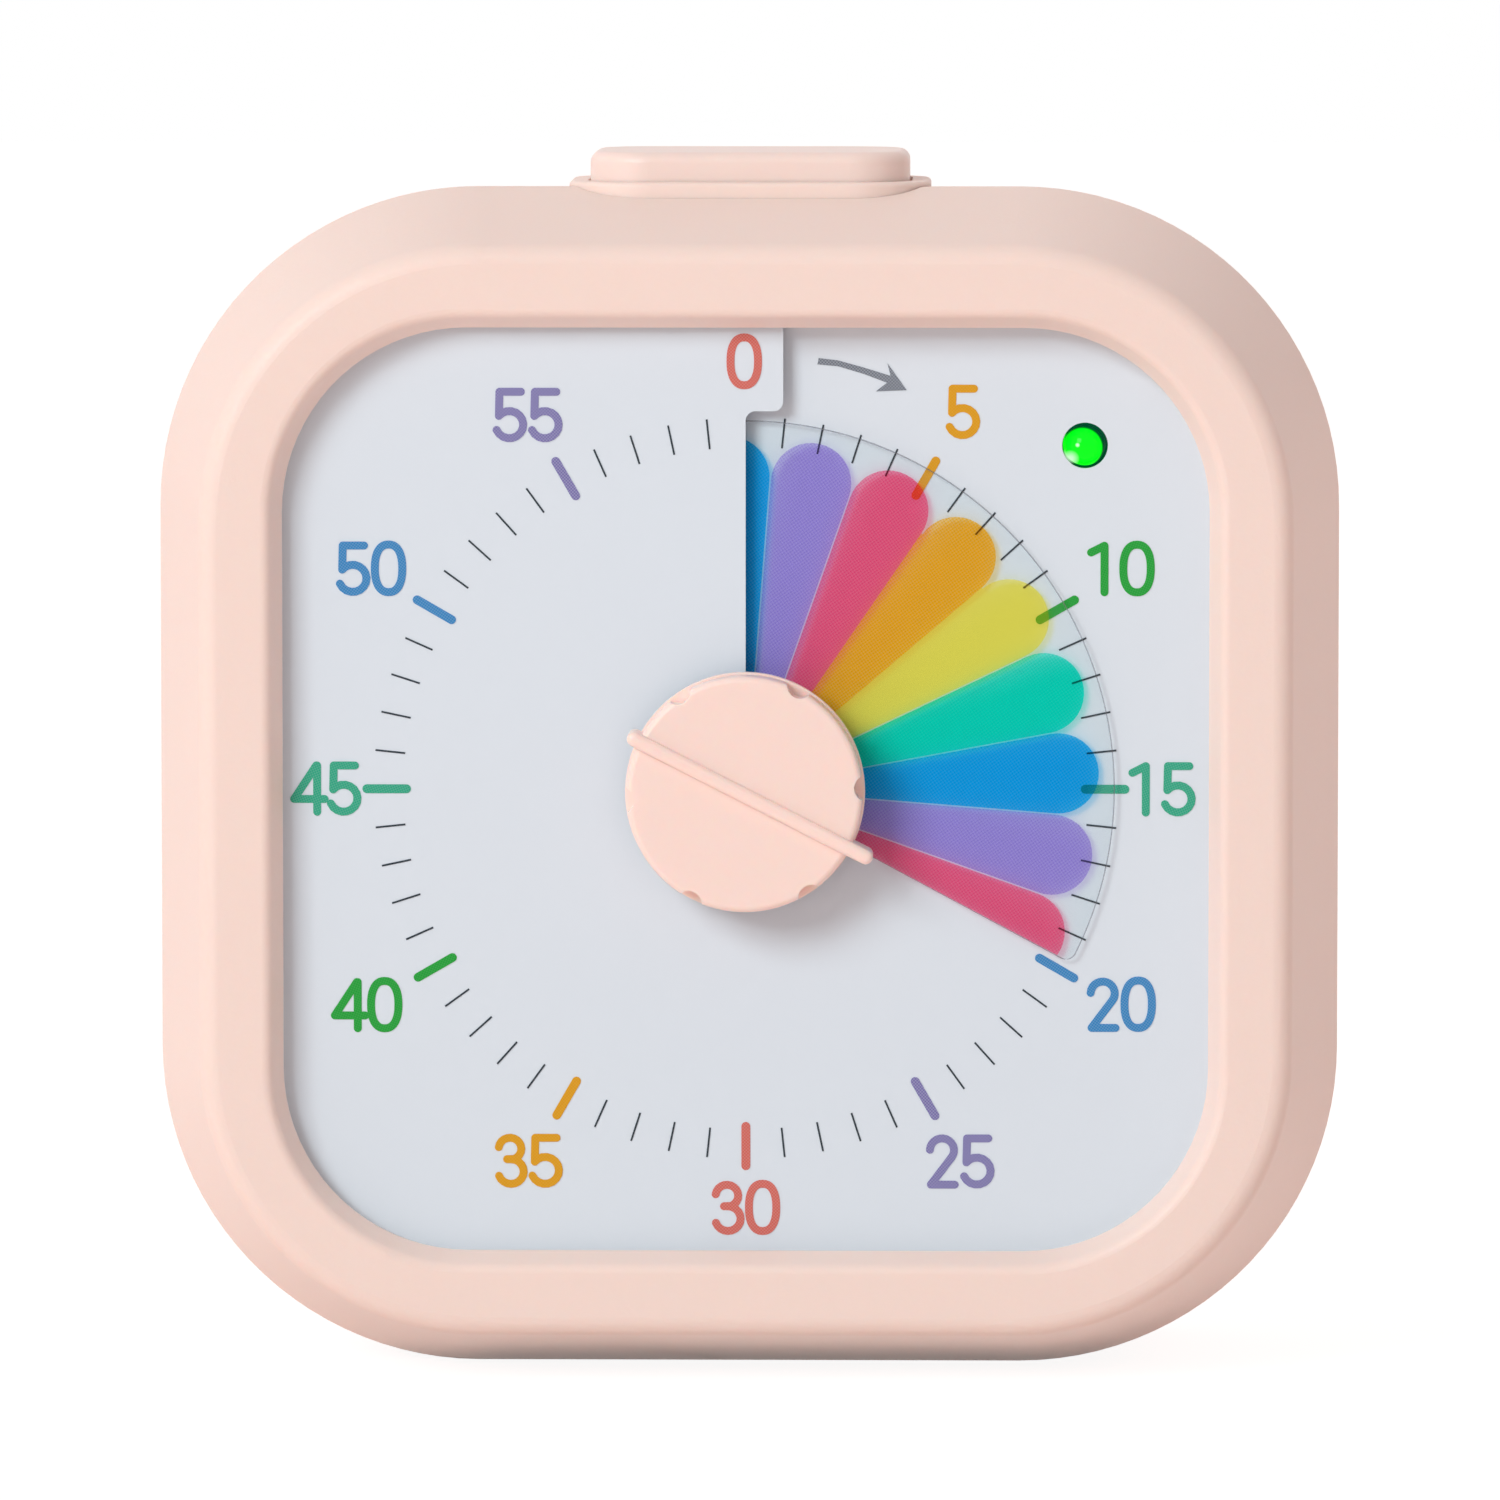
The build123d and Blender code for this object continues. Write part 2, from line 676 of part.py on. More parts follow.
# ---------------------------------------------------------------- film and its hub
nose_angle = pointer_angle + film_nose
film_turns_done = nose_angle / 360
film_back_at_tail = film_depth + film_thickness + screw_rise * (1 - film_turns_done)
film_front_at_nose = film_depth - screw_rise * film_turns_done
film_blank = screw_sheet(
    hub_radius + press_gap, film_radius, nose_angle - 360, 360, film_depth, film_thickness
)
with BuildPart() as colour_film:
    add(film_blank)
    # Its two ends have rounded corners at the rim
    for side, end_depth in ((1, film_front_at_nose), (-1, film_front_at_nose + screw_rise)):
        with BuildSketch(at_depth(end_depth + film_thickness + film_gap, turn=nose_angle)):
            with Locations((film_radius - film_corner, 0)):
                Rectangle(2 * film_corner, 2 * film_corner, align=(Align.MIN, Align.CENTER))
            with Locations((film_radius - film_corner, side * film_corner)):
                Circle(film_corner, mode=Mode.SUBTRACT)
        extrude(amount=film_thickness + 2 * film_gap, mode=Mode.SUBTRACT)
save(colour_film.part, "colour_film")

with BuildPart() as film_hub:
    with BuildSketch(at_depth(film_back_at_tail + hub_margin)):
        Circle(hub_radius)
    extrude(amount=film_back_at_tail - film_front_at_nose + 2 * hub_margin)
    with BuildSketch(at_depth(film_back_at_tail + hub_margin, turn=pointer_angle)):
        Circle(shaft_radius + slide_gap)
        Rectangle(4 * shaft_radius, 2 * (shaft_flat + slide_gap), mode=Mode.INTERSECT)
    extrude(amount=big_depth, mode=Mode.SUBTRACT)
save(film_hub.part, "film_hub")

# ---------------------------------------------------------------- shaft, clip and knob
clip_depth = carrier_back + bush_flange + slide_gap
with BuildPart() as knob_shaft:
    with BuildSketch(at_depth(movement_back - movement_wall / 2)):
        Circle(shaft_radius)
    extrude(amount=movement_back - movement_wall / 2 - shaft_front)
    with BuildSketch(at_depth(carrier_depth - slide_gap, turn=pointer_angle)):
        Circle(2 * shaft_radius)
        Rectangle(4 * shaft_radius, 2 * shaft_flat, mode=Mode.SUBTRACT)
    extrude(amount=big_depth, mode=Mode.SUBTRACT)
    with BuildSketch(at_depth(clip_depth + clip_thickness + slide_gap)):
        Circle(shaft_radius)
        Circle(shaft_flat, mode=Mode.SUBTRACT)
    extrude(amount=clip_thickness + 2 * slide_gap, mode=Mode.SUBTRACT)
    chamfer(knob_shaft.edges().group_by(Axis.Y)[-1], shaft_radius / 8)
save(knob_shaft.part, "knob_shaft")

with BuildPart() as retaining_clip:
    with BuildSketch(at_depth(clip_depth + clip_thickness)):
        Circle(clip_radius)
        Circle(shaft_flat + press_gap, mode=Mode.SUBTRACT)
        with Locations((0, -clip_radius)):
            Rectangle(2 * shaft_flat, 2 * clip_radius, mode=Mode.SUBTRACT)
    extrude(amount=clip_thickness)
save(retaining_clip.part, "retaining_clip")

with BuildPart() as knob:
    with BuildSketch(at_depth(knob_back)):
        Circle(knob_radius)
    extrude(amount=knob_back - knob_front)
    fillet(knob.edges().group_by(Axis.Y)[0], knob_edge_round)
    with BuildSketch(at_depth(knob_back, turn=pointer_angle)):
        with PolarLocations(knob_radius + notch_radius - notch_bite, knob_notches, start_angle=30):
            Circle(notch_radius)
    extrude(amount=big_depth, mode=Mode.SUBTRACT)
    with BuildSketch(at_depth(knob_back)):
        Circle(knob_radius + knob_flange)
    extrude(amount=knob_flange_thickness)
    # Grip bar, which is also the pointer
    bar_length = 2 * knob_radius + bar_tail + bar_nose
    with BuildSketch(at_depth(knob_back - knob_flange_thickness, turn=pointer_angle)):
        with Locations(((bar_nose - bar_tail) / 2, 0)):
            SlotOverall(bar_length, bar_width)
    extrude(amount=knob_back - knob_flange_thickness - bar_front)
    fillet(knob.edges().group_by(Axis.Y)[0], bar_width * 0.4)
    # Hollow underside round the boss
    with BuildSketch(at_depth(knob_back)):
        Circle(knob_radius - knob_wall)
        Circle(knob_boss_radius, mode=Mode.SUBTRACT)
    extrude(amount=knob_back - knob_front - knob_wall, mode=Mode.SUBTRACT)
    with BuildSketch(at_depth(knob_back, turn=pointer_angle)):
        Circle(shaft_radius + press_gap)
        Rectangle(4 * shaft_radius, 2 * (shaft_flat + press_gap), mode=Mode.INTERSECT)
    extrude(amount=knob_back - shaft_front + press_gap, mode=Mode.SUBTRACT)
save(knob.part, "knob")

# ---------------------------------------------------------------- movement
shaft_gear_back = movement_depth + movement_wall + gear_gap + gear_thickness
wheel_back = shaft_gear_back + gear_gap + gear_thickness
stator_back = wheel_back + 2 * gear_gap + coil_wall + stator_sheet
magnet_back = stator_back + (magnet_length - stator_sheet) / 2
coil_leg_z = movement_low + coil_wall + stator_leg / 2 + press_gap

with BuildPart() as movement_case:
    with BuildSketch(at_depth(split_depth, movement_x, movement_z)):
        RectangleRounded(movement_width, movement_height, movement_round)
    extrude(amount=movement_split)
    with BuildSketch(at_depth(split_depth)):
        with Locations((movement_x, movement_z)):
            SlotCenterToCenter(2 * ear_reach, 2 * ear_radius)
    extrude(amount=ear_thickness)
    with BuildSketch(at_depth(split_depth, movement_x, movement_z)):
        RectangleRounded(
            movement_width - 2 * movement_wall,
            movement_height - 2 * movement_wall,
            movement_round - movement_wall / 2,
        )
    extrude(amount=movement_split - movement_wall, mode=Mode.SUBTRACT)
    with BuildSketch(at_depth(split_depth)):
        Circle(shaft_radius + slide_gap)
        with Locations((0, reduction_z), (rotor_x, rotor_z)):
            Circle(arbor_radius + press_gap)
        with Locations(*ear_spots):
            Circle(small_screw_radius + screw_gap)
    extrude(amount=big_depth, mode=Mode.SUBTRACT)
save(movement_case.part, "movement_case")

with BuildPart() as movement_cover:
    with BuildSketch(at_depth(movement_back, movement_x, movement_z)):
        RectangleRounded(movement_width, movement_height, movement_round)
    extrude(amount=movement_back - split_depth)
    with BuildSketch(at_depth(split_depth + ear_thickness)):
        with Locations((movement_x, movement_z)):
            SlotCenterToCenter(2 * ear_reach, 2 * ear_radius)
    extrude(amount=ear_thickness)
    with BuildSketch(at_depth(split_depth, movement_x, movement_z)):
        RectangleRounded(
            movement_width - 2 * movement_wall,
            movement_height - 2 * movement_wall,
            movement_round - movement_wall / 2,
        )
    extrude(amount=split_depth - movement_back + movement_wall, mode=Mode.SUBTRACT)
    with BuildSketch(at_depth(movement_back)):
        Circle(shaft_radius + slide_gap)
        with Locations((0, reduction_z), (rotor_x, rotor_z)):
            Circle(arbor_radius + press_gap)
        with Locations(*ear_spots):
            Circle(small_screw_radius + screw_gap)
    extrude(amount=big_depth, mode=Mode.SUBTRACT)
save(movement_cover.part, "movement_cover")

with BuildPart() as shaft_wheel:
    with BuildSketch(at_depth(shaft_gear_back, turn=180)):
        with BuildLine():
            Polyline(*distinct(gear_points(shaft_teeth)), close=True)
        make_face()
        Circle(shaft_radius + press_gap, mode=Mode.SUBTRACT)
    extrude(amount=gear_thickness)
save(shaft_wheel.part, "shaft_wheel")

half_pitch = 180 / pinion_teeth
with BuildPart() as reduction_wheel:
    with BuildSketch(at_depth(wheel_back - gear_thickness, z=reduction_z, turn=half_pitch)):
        with BuildLine():
            Polyline(*distinct(gear_points(pinion_teeth)), close=True)
        make_face()
    extrude(amount=gear_thickness + gear_gap)
    with BuildSketch(at_depth(wheel_back, z=reduction_z, turn=90 + rotor_bearing)):
        with BuildLine():
            Polyline(*distinct(gear_points(wheel_teeth)), close=True)
        make_face()
    extrude(amount=gear_thickness)
    with BuildSketch(at_depth(wheel_back, z=reduction_z)):
        Circle(arbor_radius + slide_gap)
    extrude(amount=big_depth, mode=Mode.SUBTRACT)
save(reduction_wheel.part, "reduction_wheel")

with BuildPart() as wheel_arbor:
    with BuildSketch(at_depth(movement_back, z=reduction_z)):
        Circle(arbor_radius)
    extrude(amount=movement_length)
save(wheel_arbor.part, "wheel_arbor")

rotor_half_pitch = 180 / rotor_teeth
with BuildPart() as rotor_pinion:
    mesh_turn = rotor_bearing - 90 + rotor_half_pitch
    with BuildSketch(at_depth(wheel_back, rotor_x, rotor_z, turn=mesh_turn)):
        with BuildLine():
            Polyline(*distinct(gear_points(rotor_teeth)), close=True)
        make_face()
    extrude(amount=gear_thickness)
    with BuildSketch(at_depth(movement_back - slide_gap, rotor_x, rotor_z)):
        Circle(arbor_radius - slide_gap)
    extrude(amount=movement_length - 2 * slide_gap)
save(rotor_pinion.part, "rotor_pinion")

with BuildPart() as rotor_magnet:
    with BuildSketch(at_depth(magnet_back, rotor_x, rotor_z)):
        Circle(magnet_radius)
        Circle(arbor_radius, mode=Mode.SUBTRACT)
    extrude(amount=magnet_length)
save(rotor_magnet.part, "rotor_magnet")

# The stator is a closed ring of thin steel; its lower leg is the coil's core.
stator_top_z = -shaft_radius - stator_gap - stator_leg
stator_left_x = movement_left + stator_leg / 2 + press_gap
with BuildPart() as stator:
    with BuildSketch(at_depth(stator_back)):
        with Locations(((stator_left_x + rotor_x) / 2, (stator_top_z + coil_leg_z) / 2)):
            Rectangle(rotor_x - stator_left_x + stator_leg, stator_top_z - coil_leg_z + stator_leg)
            Rectangle(
                rotor_x - stator_left_x - stator_leg,
                stator_top_z - coil_leg_z - stator_leg,
                mode=Mode.SUBTRACT,
            )
        with Locations((rotor_x, rotor_z)):
            Circle(stator_lobe)
            Circle(magnet_radius + stator_gap, mode=Mode.SUBTRACT)
    extrude(amount=stator_sheet)
save(stator.part, "stator")

coil_length = (rotor_x - stator_lobe) - (stator_left_x + stator_leg / 2) - 2 * stator_gap
coil_x = ((rotor_x - stator_lobe) + (stator_left_x + stator_leg / 2)) / 2
with BuildPart() as drive_coil:
    with BuildSketch(Plane.YZ.offset(coil_x - coil_length / 2)):
        with Locations((front_y + stator_back - stator_sheet / 2, dial_z + coil_leg_z)):
            RectangleRounded(
                stator_sheet + 2 * coil_wall, stator_leg + 2 * coil_wall - press_gap, coil_wall
            )
            Rectangle(stator_sheet + press_gap, stator_leg + press_gap, mode=Mode.SUBTRACT)
    extrude(amount=coil_length)
save(drive_coil.part, "drive_coil")

# ---------------------------------------------------------------- boards, LED and buzzer
with BuildPart() as circuit_board:
    with BuildSketch(at_depth(board_depth + board_sheet, z=board_centre_z)):
        RectangleRounded(board_width, board_height, board_corner)
    extrude(amount=board_sheet)
    with BuildSketch(at_depth(board_depth + board_sheet)):
        with Locations(*board_spots):
            Circle(small_screw_radius + screw_gap)
    extrude(amount=big_depth, mode=Mode.SUBTRACT)
save(circuit_board.part, "circuit_board")

with BuildPart() as controller_chip:
    with BuildSketch(at_depth(board_depth + board_sheet + chip_height, z=board_centre_z)):
        Rectangle(chip_length, chip_width)
    extrude(amount=chip_height)
    chamfer(controller_chip.edges().group_by(Axis.Y)[-1], chip_height / 5)
save(controller_chip.part, "controller_chip")

led_angle = degrees(atan2(led_x, led_z))
led_tip = dial_depth - screw_rise * led_angle / 360 - led_proud
with BuildPart() as status_led:
    with BuildSketch(Plane.YZ.offset(led_x)):
        with BuildLine():
            Polyline(
                (front_y + led_tip + led_radius, dial_z + led_z + led_radius),
                (front_y + board_depth - led_radius, dial_z + led_z + led_radius),
                (front_y + board_depth - led_radius, dial_z + led_z + led_radius + led_collar),
                (front_y + board_depth, dial_z + led_z + led_radius + led_collar),
                (front_y + board_depth, dial_z + led_z),
                (front_y + led_tip, dial_z + led_z),
            )
            RadiusArc(
                (front_y + led_tip, dial_z + led_z),
                (front_y + led_tip + led_radius, dial_z + led_z + led_radius),
                led_radius,
            )
        make_face()
    revolve(axis=Axis((led_x, 0, dial_z + led_z), (0, 1, 0)))
save(status_led.part, "status_led")

with BuildPart() as buzzer:
    with BuildSketch(at_depth(rear_inner - fitting_gap, -rear_fitting_x, rear_fitting_z)):
        Circle(buzzer_radius)
    extrude(amount=buzzer_height)
    fillet(buzzer.edges().group_by(Axis.Y)[0], buzzer_round)
    with BuildSketch(at_depth(rear_inner - fitting_gap, -rear_fitting_x, rear_fitting_z)):
        Circle(buzzer_hole_radius)
    extrude(amount=buzzer_height / 4, mode=Mode.SUBTRACT)
save(buzzer.part, "buzzer")

# ---------------------------------------------------------------- volume switch
with BuildPart() as volume_switch:
    with BuildSketch(at_depth(rear_inner - wall + press_gap, rear_fitting_x, rear_fitting_z)):
        Rectangle(switch_body_length, switch_body_width)
    extrude(amount=switch_body_depth)
save(volume_switch.part, "volume_switch")

slider_base = switch_body_length - 2 * slider_travel - 2 * fitting_gap
with BuildPart() as volume_slider:
    with BuildSketch(at_depth(rear_inner - fitting_gap, rear_fitting_x, rear_fitting_z)):
        Rectangle(slider_base, switch_body_width - 2 * fitting_gap)
    extrude(amount=wall / 2)
    with BuildSketch(at_depth(rear_inner - fitting_gap - wall / 2, rear_fitting_x, rear_fitting_z)):
        Rectangle(slider_width, slider_height)
    extrude(amount=wall / 2 - 3 * fitting_gap)
    with BuildSketch(at_depth(rear_inner - fitting_gap, rear_fitting_x, rear_fitting_z)):
        Rectangle(slider_width, slider_height)
    extrude(amount=-(wall - 2 * fitting_gap))
    with BuildSketch(at_depth(body_depth - 3 * fitting_gap, rear_fitting_x, rear_fitting_z)):
        with Locations((-slider_width / 4, 0), (slider_width / 4, 0)):
            Rectangle(slider_width / 8, slider_height)
    extrude(amount=3 * fitting_gap, mode=Mode.SUBTRACT)
save(volume_slider.part, "volume_slider")

# ---------------------------------------------------------------- battery door, cells, contacts
with BuildPart() as battery_door:
    with BuildSketch(Plane.YZ.offset(-door_width / 2)):
        with Locations((front_y + door_hinge_depth, dial_z + door_hinge_z)):
            Circle(wall / 2)
            Rectangle(wall, door_height - wall / 2, align=(Align.CENTER, Align.MIN))
    extrude(amount=door_width)
    chamfer(battery_door.edges().group_by(Axis.Z)[-1], seam_chamfer)
    with BuildSketch(Plane.YZ.offset(-(door_width / 2 + door_gap + door_pin_length - fitting_gap))):
        with Locations((front_y + door_hinge_depth, dial_z + door_hinge_z)):
            Circle(door_pin_radius)
    extrude(amount=door_width + 2 * (door_gap + door_pin_length - fitting_gap))
    # Grip ribs by the free edge
    with BuildSketch(at_depth(body_depth, z=bay_centre + door_height / 2 - 3 * wall)):
        with GridLocations(1, wall, 1, 3):
            Rectangle(6 * wall, wall / 3)
    extrude(amount=wall / 4, mode=Mode.SUBTRACT)
save(battery_door.part, "battery_door")

cell_depth = bay_front + cell_gap + cell_radius
for number, (side, row) in enumerate(((1, 0.5), (-1, -0.5)), start=1):
    with BuildPart() as cell:
        cell_z = dial_z + bay_centre + row * cell_pitch
        with BuildSketch(Plane.YZ.offset(-side * cell_length / 2)):
            with Locations((front_y + cell_depth, cell_z)):
                Circle(cell_radius)
        extrude(amount=side * (cell_length - cell_nipple_height))
        fillet(cell.edges().filter_by(GeomType.CIRCLE), cell_round)
        with BuildSketch(Plane.YZ.offset(side * (cell_length / 2 - cell_nipple_height))):
            with Locations((front_y + cell_depth, cell_z)):
                Circle(cell_nipple_radius)
        extrude(amount=side * cell_nipple_height)
    save(cell.part, f"battery_cell_{number}")

contact_reach = cell_radius * 0.8
with BuildPart() as flat_contacts:
    # One plate joins both cells at one end, and the two taps stand at the other
    with BuildSketch(at_depth(cell_depth + contact_reach / 2, z=bay_centre)):
        with Locations((-bay_width / 2 + contact_sheet / 2 + press_gap, 0)):
            Rectangle(contact_sheet, cell_pitch + contact_reach)
        with Locations(
            (bay_width / 2 - contact_sheet / 2 - press_gap, cell_pitch / 2),
            (bay_width / 2 - contact_sheet / 2 - press_gap, -cell_pitch / 2),
        ):
            Rectangle(contact_sheet, contact_reach)
    extrude(amount=contact_reach)
save(flat_contacts.part, "flat_contacts")

leaf_room = contact_room - contact_sheet - 3 * press_gap
with BuildPart() as leaf_springs:
    # Bowed leaves between the plates and the cells
    with BuildSketch(at_depth(cell_depth + contact_reach / 2, z=bay_centre)):
        for side in (-1, 1):
            for row in (-1, 1):
                base_x = side * (bay_width / 2 - contact_sheet - 2 * press_gap)
                tip_x = side * (cell_length / 2 + press_gap)
                row_z = row * cell_pitch / 2
                with BuildLine():
                    Polyline(
                        (base_x, row_z - contact_reach / 2),
                        (tip_x + side * contact_sheet / 2, row_z - contact_reach / 8),
                        (tip_x, row_z),
                        (tip_x + side * contact_sheet / 2, row_z + contact_reach / 8),
                        (base_x, row_z + contact_reach / 2),
                        (base_x, row_z + contact_reach / 2 - contact_sheet),
                        (tip_x + side * contact_sheet * 1.4, row_z),
                        (base_x, row_z - contact_reach / 2 + contact_sheet),
                        close=True,
                    )
                make_face()
    extrude(amount=contact_reach)
save(leaf_springs.part, "leaf_springs")

# ---------------------------------------------------------------- top button and its switch
hole_width = button_width + 2 * button_gap
hole_length = button_length + 2 * button_gap
hole_corner = button_corner + button_gap
with BuildPart() as button_collar:
    with BuildSketch(at_height(collar_bottom, button_depth)):
        RectangleRounded(
            hole_width + 2 * collar_wall, hole_length + 2 * collar_wall, hole_corner + collar_wall
        )
    extrude(amount=collar_top - collar_bottom)
    fillet(button_collar.edges().group_by(Axis.Z)[-1], collar_wall / 4)
    with BuildSketch(at_height(collar_bottom, button_depth)):
        RectangleRounded(
            hole_width + 2 * (collar_wall + collar_flange),
            hole_length + 2 * (collar_wall + collar_flange),
            hole_corner + collar_wall + collar_flange,
        )
    extrude(amount=collar_flange_thickness)
    with BuildSketch(at_height(collar_bottom, button_depth)):
        RectangleRounded(hole_width, hole_length, hole_corner)
    extrude(amount=collar_top, mode=Mode.SUBTRACT)
save(button_collar.part, "button_collar")

switch_top = board_top + switch_height + plunger_height
spring_top = lip_top
with BuildPart() as top_button:
    with BuildSketch(at_height(lip_bottom, button_depth)):
        RectangleRounded(button_width, button_length, button_corner)
    extrude(amount=button_top - lip_bottom)
    fillet(top_button.edges().group_by(Axis.Z)[-1], button_round)
    with BuildSketch(at_height(lip_bottom, button_depth)):
        RectangleRounded(
            button_width + 2 * button_lip, button_length + 2 * button_lip, button_corner + button_lip
        )
    extrude(amount=button_lip_thickness)
    with BuildSketch(at_height(lip_bottom, button_depth)):
        RectangleRounded(
            button_width - 2 * button_wall,
            button_length - 2 * button_wall,
            button_corner - button_wall,
        )
    extrude(amount=button_top - button_wall - lip_bottom, mode=Mode.SUBTRACT)
    # Stem over the switch, and the ring that the spring bears on
    with BuildSketch(at_height(button_top - button_wall, button_depth)):
        Circle(button_stem_radius)
    extrude(amount=-(button_top - button_wall - switch_top - button_travel - press_gap))
    with BuildSketch(at_height(button_top - button_wall, button_depth)):
        Circle(spring_radius + 2 * spring_wire)
        Circle(spring_radius - 2 * spring_wire, mode=Mode.SUBTRACT)
    extrude(amount=-(button_top - button_wall - spring_top))
save(top_button.part, "top_button")

with BuildPart() as button_board:
    with BuildSketch(at_height(board_top - board_sheet, button_depth)):
        RectangleRounded(button_width, button_length - 2 * button_gap, board_corner)
        with Locations(*shelf_spots):
            Circle(small_screw_radius + screw_gap, mode=Mode.SUBTRACT)
    extrude(amount=board_sheet)
save(button_board.part, "button_board")

with BuildPart() as tact_switch:
    with BuildSketch(at_height(board_top, button_depth)):
        Rectangle(switch_width, switch_width)
    extrude(amount=switch_height)
    with BuildSketch(at_height(board_top + switch_height, button_depth)):
        Circle(plunger_radius)
    extrude(amount=plunger_height)
save(tact_switch.part, "tact_switch")

spring_bottom = board_top + spring_wire + press_gap
spring_rise = spring_top - spring_wire - press_gap - spring_bottom
with BuildPart() as button_spring:
    with BuildLine() as spring_path:
        add(
            Edge.make_helix(
                spring_rise / spring_turns,
                spring_rise,
                spring_radius,
                center=(0, front_y + button_depth, spring_bottom),
            )
        )
    with BuildSketch(Plane(origin=spring_path.wires()[0] @ 0, z_dir=spring_path.wires()[0] % 0)):
        RegularPolygon(spring_wire, 8)
    sweep(path=spring_path.wires()[0], is_frenet=True)
save(button_spring.part, "button_spring")

# ---------------------------------------------------------------- screws
def pan_head_screws(plane, spots, radius, head_radius, head_height, length):
    """Pan-head screws whose heads stand on the plane at the spots."""
    with BuildPart() as group:
        with BuildSketch(plane):
            with Locations(*spots):
                Circle(head_radius)
        extrude(amount=head_height)
        with BuildSketch(plane.offset(head_height)):
            for turn in (0, 90):
                with Locations(*spots):
                    Rectangle(
                        cross_length * head_radius, cross_width * head_radius, rotation=turn
                    )
        extrude(amount=-head_height / 2, mode=Mode.SUBTRACT)
        with BuildSketch(plane):
            with Locations(*spots):
                Circle(radius)
        extrude(amount=-length)
    return group.part


def mirrored(spots):
    """The same spots on a plane that is seen from behind."""
    return [(-x, z) for x, z in spots]


case_screws = pan_head_screws(
    from_behind(screw_head_depth),
    mirrored(four_corners(boss_offset)),
    case_screw_radius,
    case_screw_head,
    case_screw_head_height,
    case_screw_length,
)
save(case_screws, "case_screws")

small_screw = (small_screw_radius, small_screw_head, small_screw_head_height)
carrier_screws = pan_head_screws(
    from_behind(carrier_back),
    mirrored(post_spots),
    *small_screw,
    carrier_plate + carrier_depth - front_wall - screw_gap,
)
save(carrier_screws, "carrier_screws")

movement_screws = pan_head_screws(
    from_behind(split_depth + ear_thickness),
    mirrored(ear_spots),
    *small_screw,
    2 * ear_thickness + board_rise,
)
save(movement_screws, "movement_screws")

board_screws = pan_head_screws(
    from_behind(board_depth + board_sheet),
    mirrored(board_spots),
    *small_screw,
    board_sheet + board_rise,
)
save(board_screws, "board_screws")

button_board_screws = pan_head_screws(
    at_height(board_top, button_depth), shelf_spots, *small_screw, board_sheet + wall - screw_gap
)
save(button_board_screws, "button_board_screws")

print("OK", len(made), "nodes")
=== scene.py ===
# %% [markdown]
# # A visual countdown timer
# A desk timer shows the time that is left as a fan of coloured petals. The petals are printed on a
# clear film that turns with the knob and comes out of a cut in the dial at 0.
# The housing, knob, button and everything inside come from the engineering model as they are. This
# script adds what a moulded part can't hold: the printing on the dial, the printed film, the
# finishes and the light. Every length is in metres, +Z is up and +Y points away from the reader.

# %% Load the frame
from math import asin, atan2, cos, degrees, pi, radians, sin, sqrt

import bmesh
import bpy
from mathutils import Matrix, Vector


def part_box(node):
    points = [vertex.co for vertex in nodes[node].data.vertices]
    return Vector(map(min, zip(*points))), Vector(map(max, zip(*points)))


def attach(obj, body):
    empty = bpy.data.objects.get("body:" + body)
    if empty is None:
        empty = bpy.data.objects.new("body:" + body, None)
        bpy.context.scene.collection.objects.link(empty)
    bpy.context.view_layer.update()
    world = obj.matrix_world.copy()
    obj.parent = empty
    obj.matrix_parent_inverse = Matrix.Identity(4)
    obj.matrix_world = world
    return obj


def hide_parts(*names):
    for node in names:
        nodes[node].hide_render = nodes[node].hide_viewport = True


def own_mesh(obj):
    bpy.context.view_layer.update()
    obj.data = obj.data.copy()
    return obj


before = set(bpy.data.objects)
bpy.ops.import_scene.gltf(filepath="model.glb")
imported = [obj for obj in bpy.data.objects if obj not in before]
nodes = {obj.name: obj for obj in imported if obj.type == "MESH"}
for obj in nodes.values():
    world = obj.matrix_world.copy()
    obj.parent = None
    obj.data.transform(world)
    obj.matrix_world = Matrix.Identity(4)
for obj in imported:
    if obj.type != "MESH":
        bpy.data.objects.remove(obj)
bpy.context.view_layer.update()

MM = 0.001

# %% [markdown]
# ## The sizes everything shares
# The dial and the film are both one turn of the same shallow screw: going clockwise by a full turn,
# each comes 1.3 mm nearer to the reader. That is why the film can slide out from under the dial at
# the cut. The printing and the film follow that screw, so its numbers are named once, here.

# %% Sizes
axis_height = 43.0 * MM  # the knob's axis above the table
face_y = -16.8 * MM  # flat front of the housing
screw_rise = 1.3 * MM  # nearer to the reader by this in one turn clockwise
dial_y = face_y + 4.2 * MM  # dial face just right of the cut
film_y = face_y + 3.65 * MM  # film's front at the same place
film_thickness = 0.2 * MM
film_inner = 3.22 * MM
film_outer = 26.6 * MM
film_corner = 0.8 * MM
film_nose = radians(118.2)  # leading edge, clockwise from 0
one_turn = 2 * pi
led_x, led_z = 24.4 * MM, 67.8 * MM
led_radius = 1.5 * MM


# %% [markdown]
# ## Camera
# A product photograph of something this small is taken from nearly a metre away with a long lens,
# so the sides hardly converge. The camera stands a little above the dial and a touch to the right.

# %% Camera
def add_object(name, data):
    """A new object for a mesh, lamp or camera, linked to the scene."""
    made = bpy.data.objects.new(name, data)
    bpy.context.scene.collection.objects.link(made)
    return made


camera_distance = 866 * MM
camera_azimuth, camera_elevation = radians(1.2), radians(4.6)
aim_right, aim_up = 0.289 * MM, 2.758 * MM

camera_data = bpy.data.cameras.new("camera")
camera_data.lens, camera_data.sensor_width = 288, 36
camera = bpy.context.scene.camera = add_object("camera", camera_data)

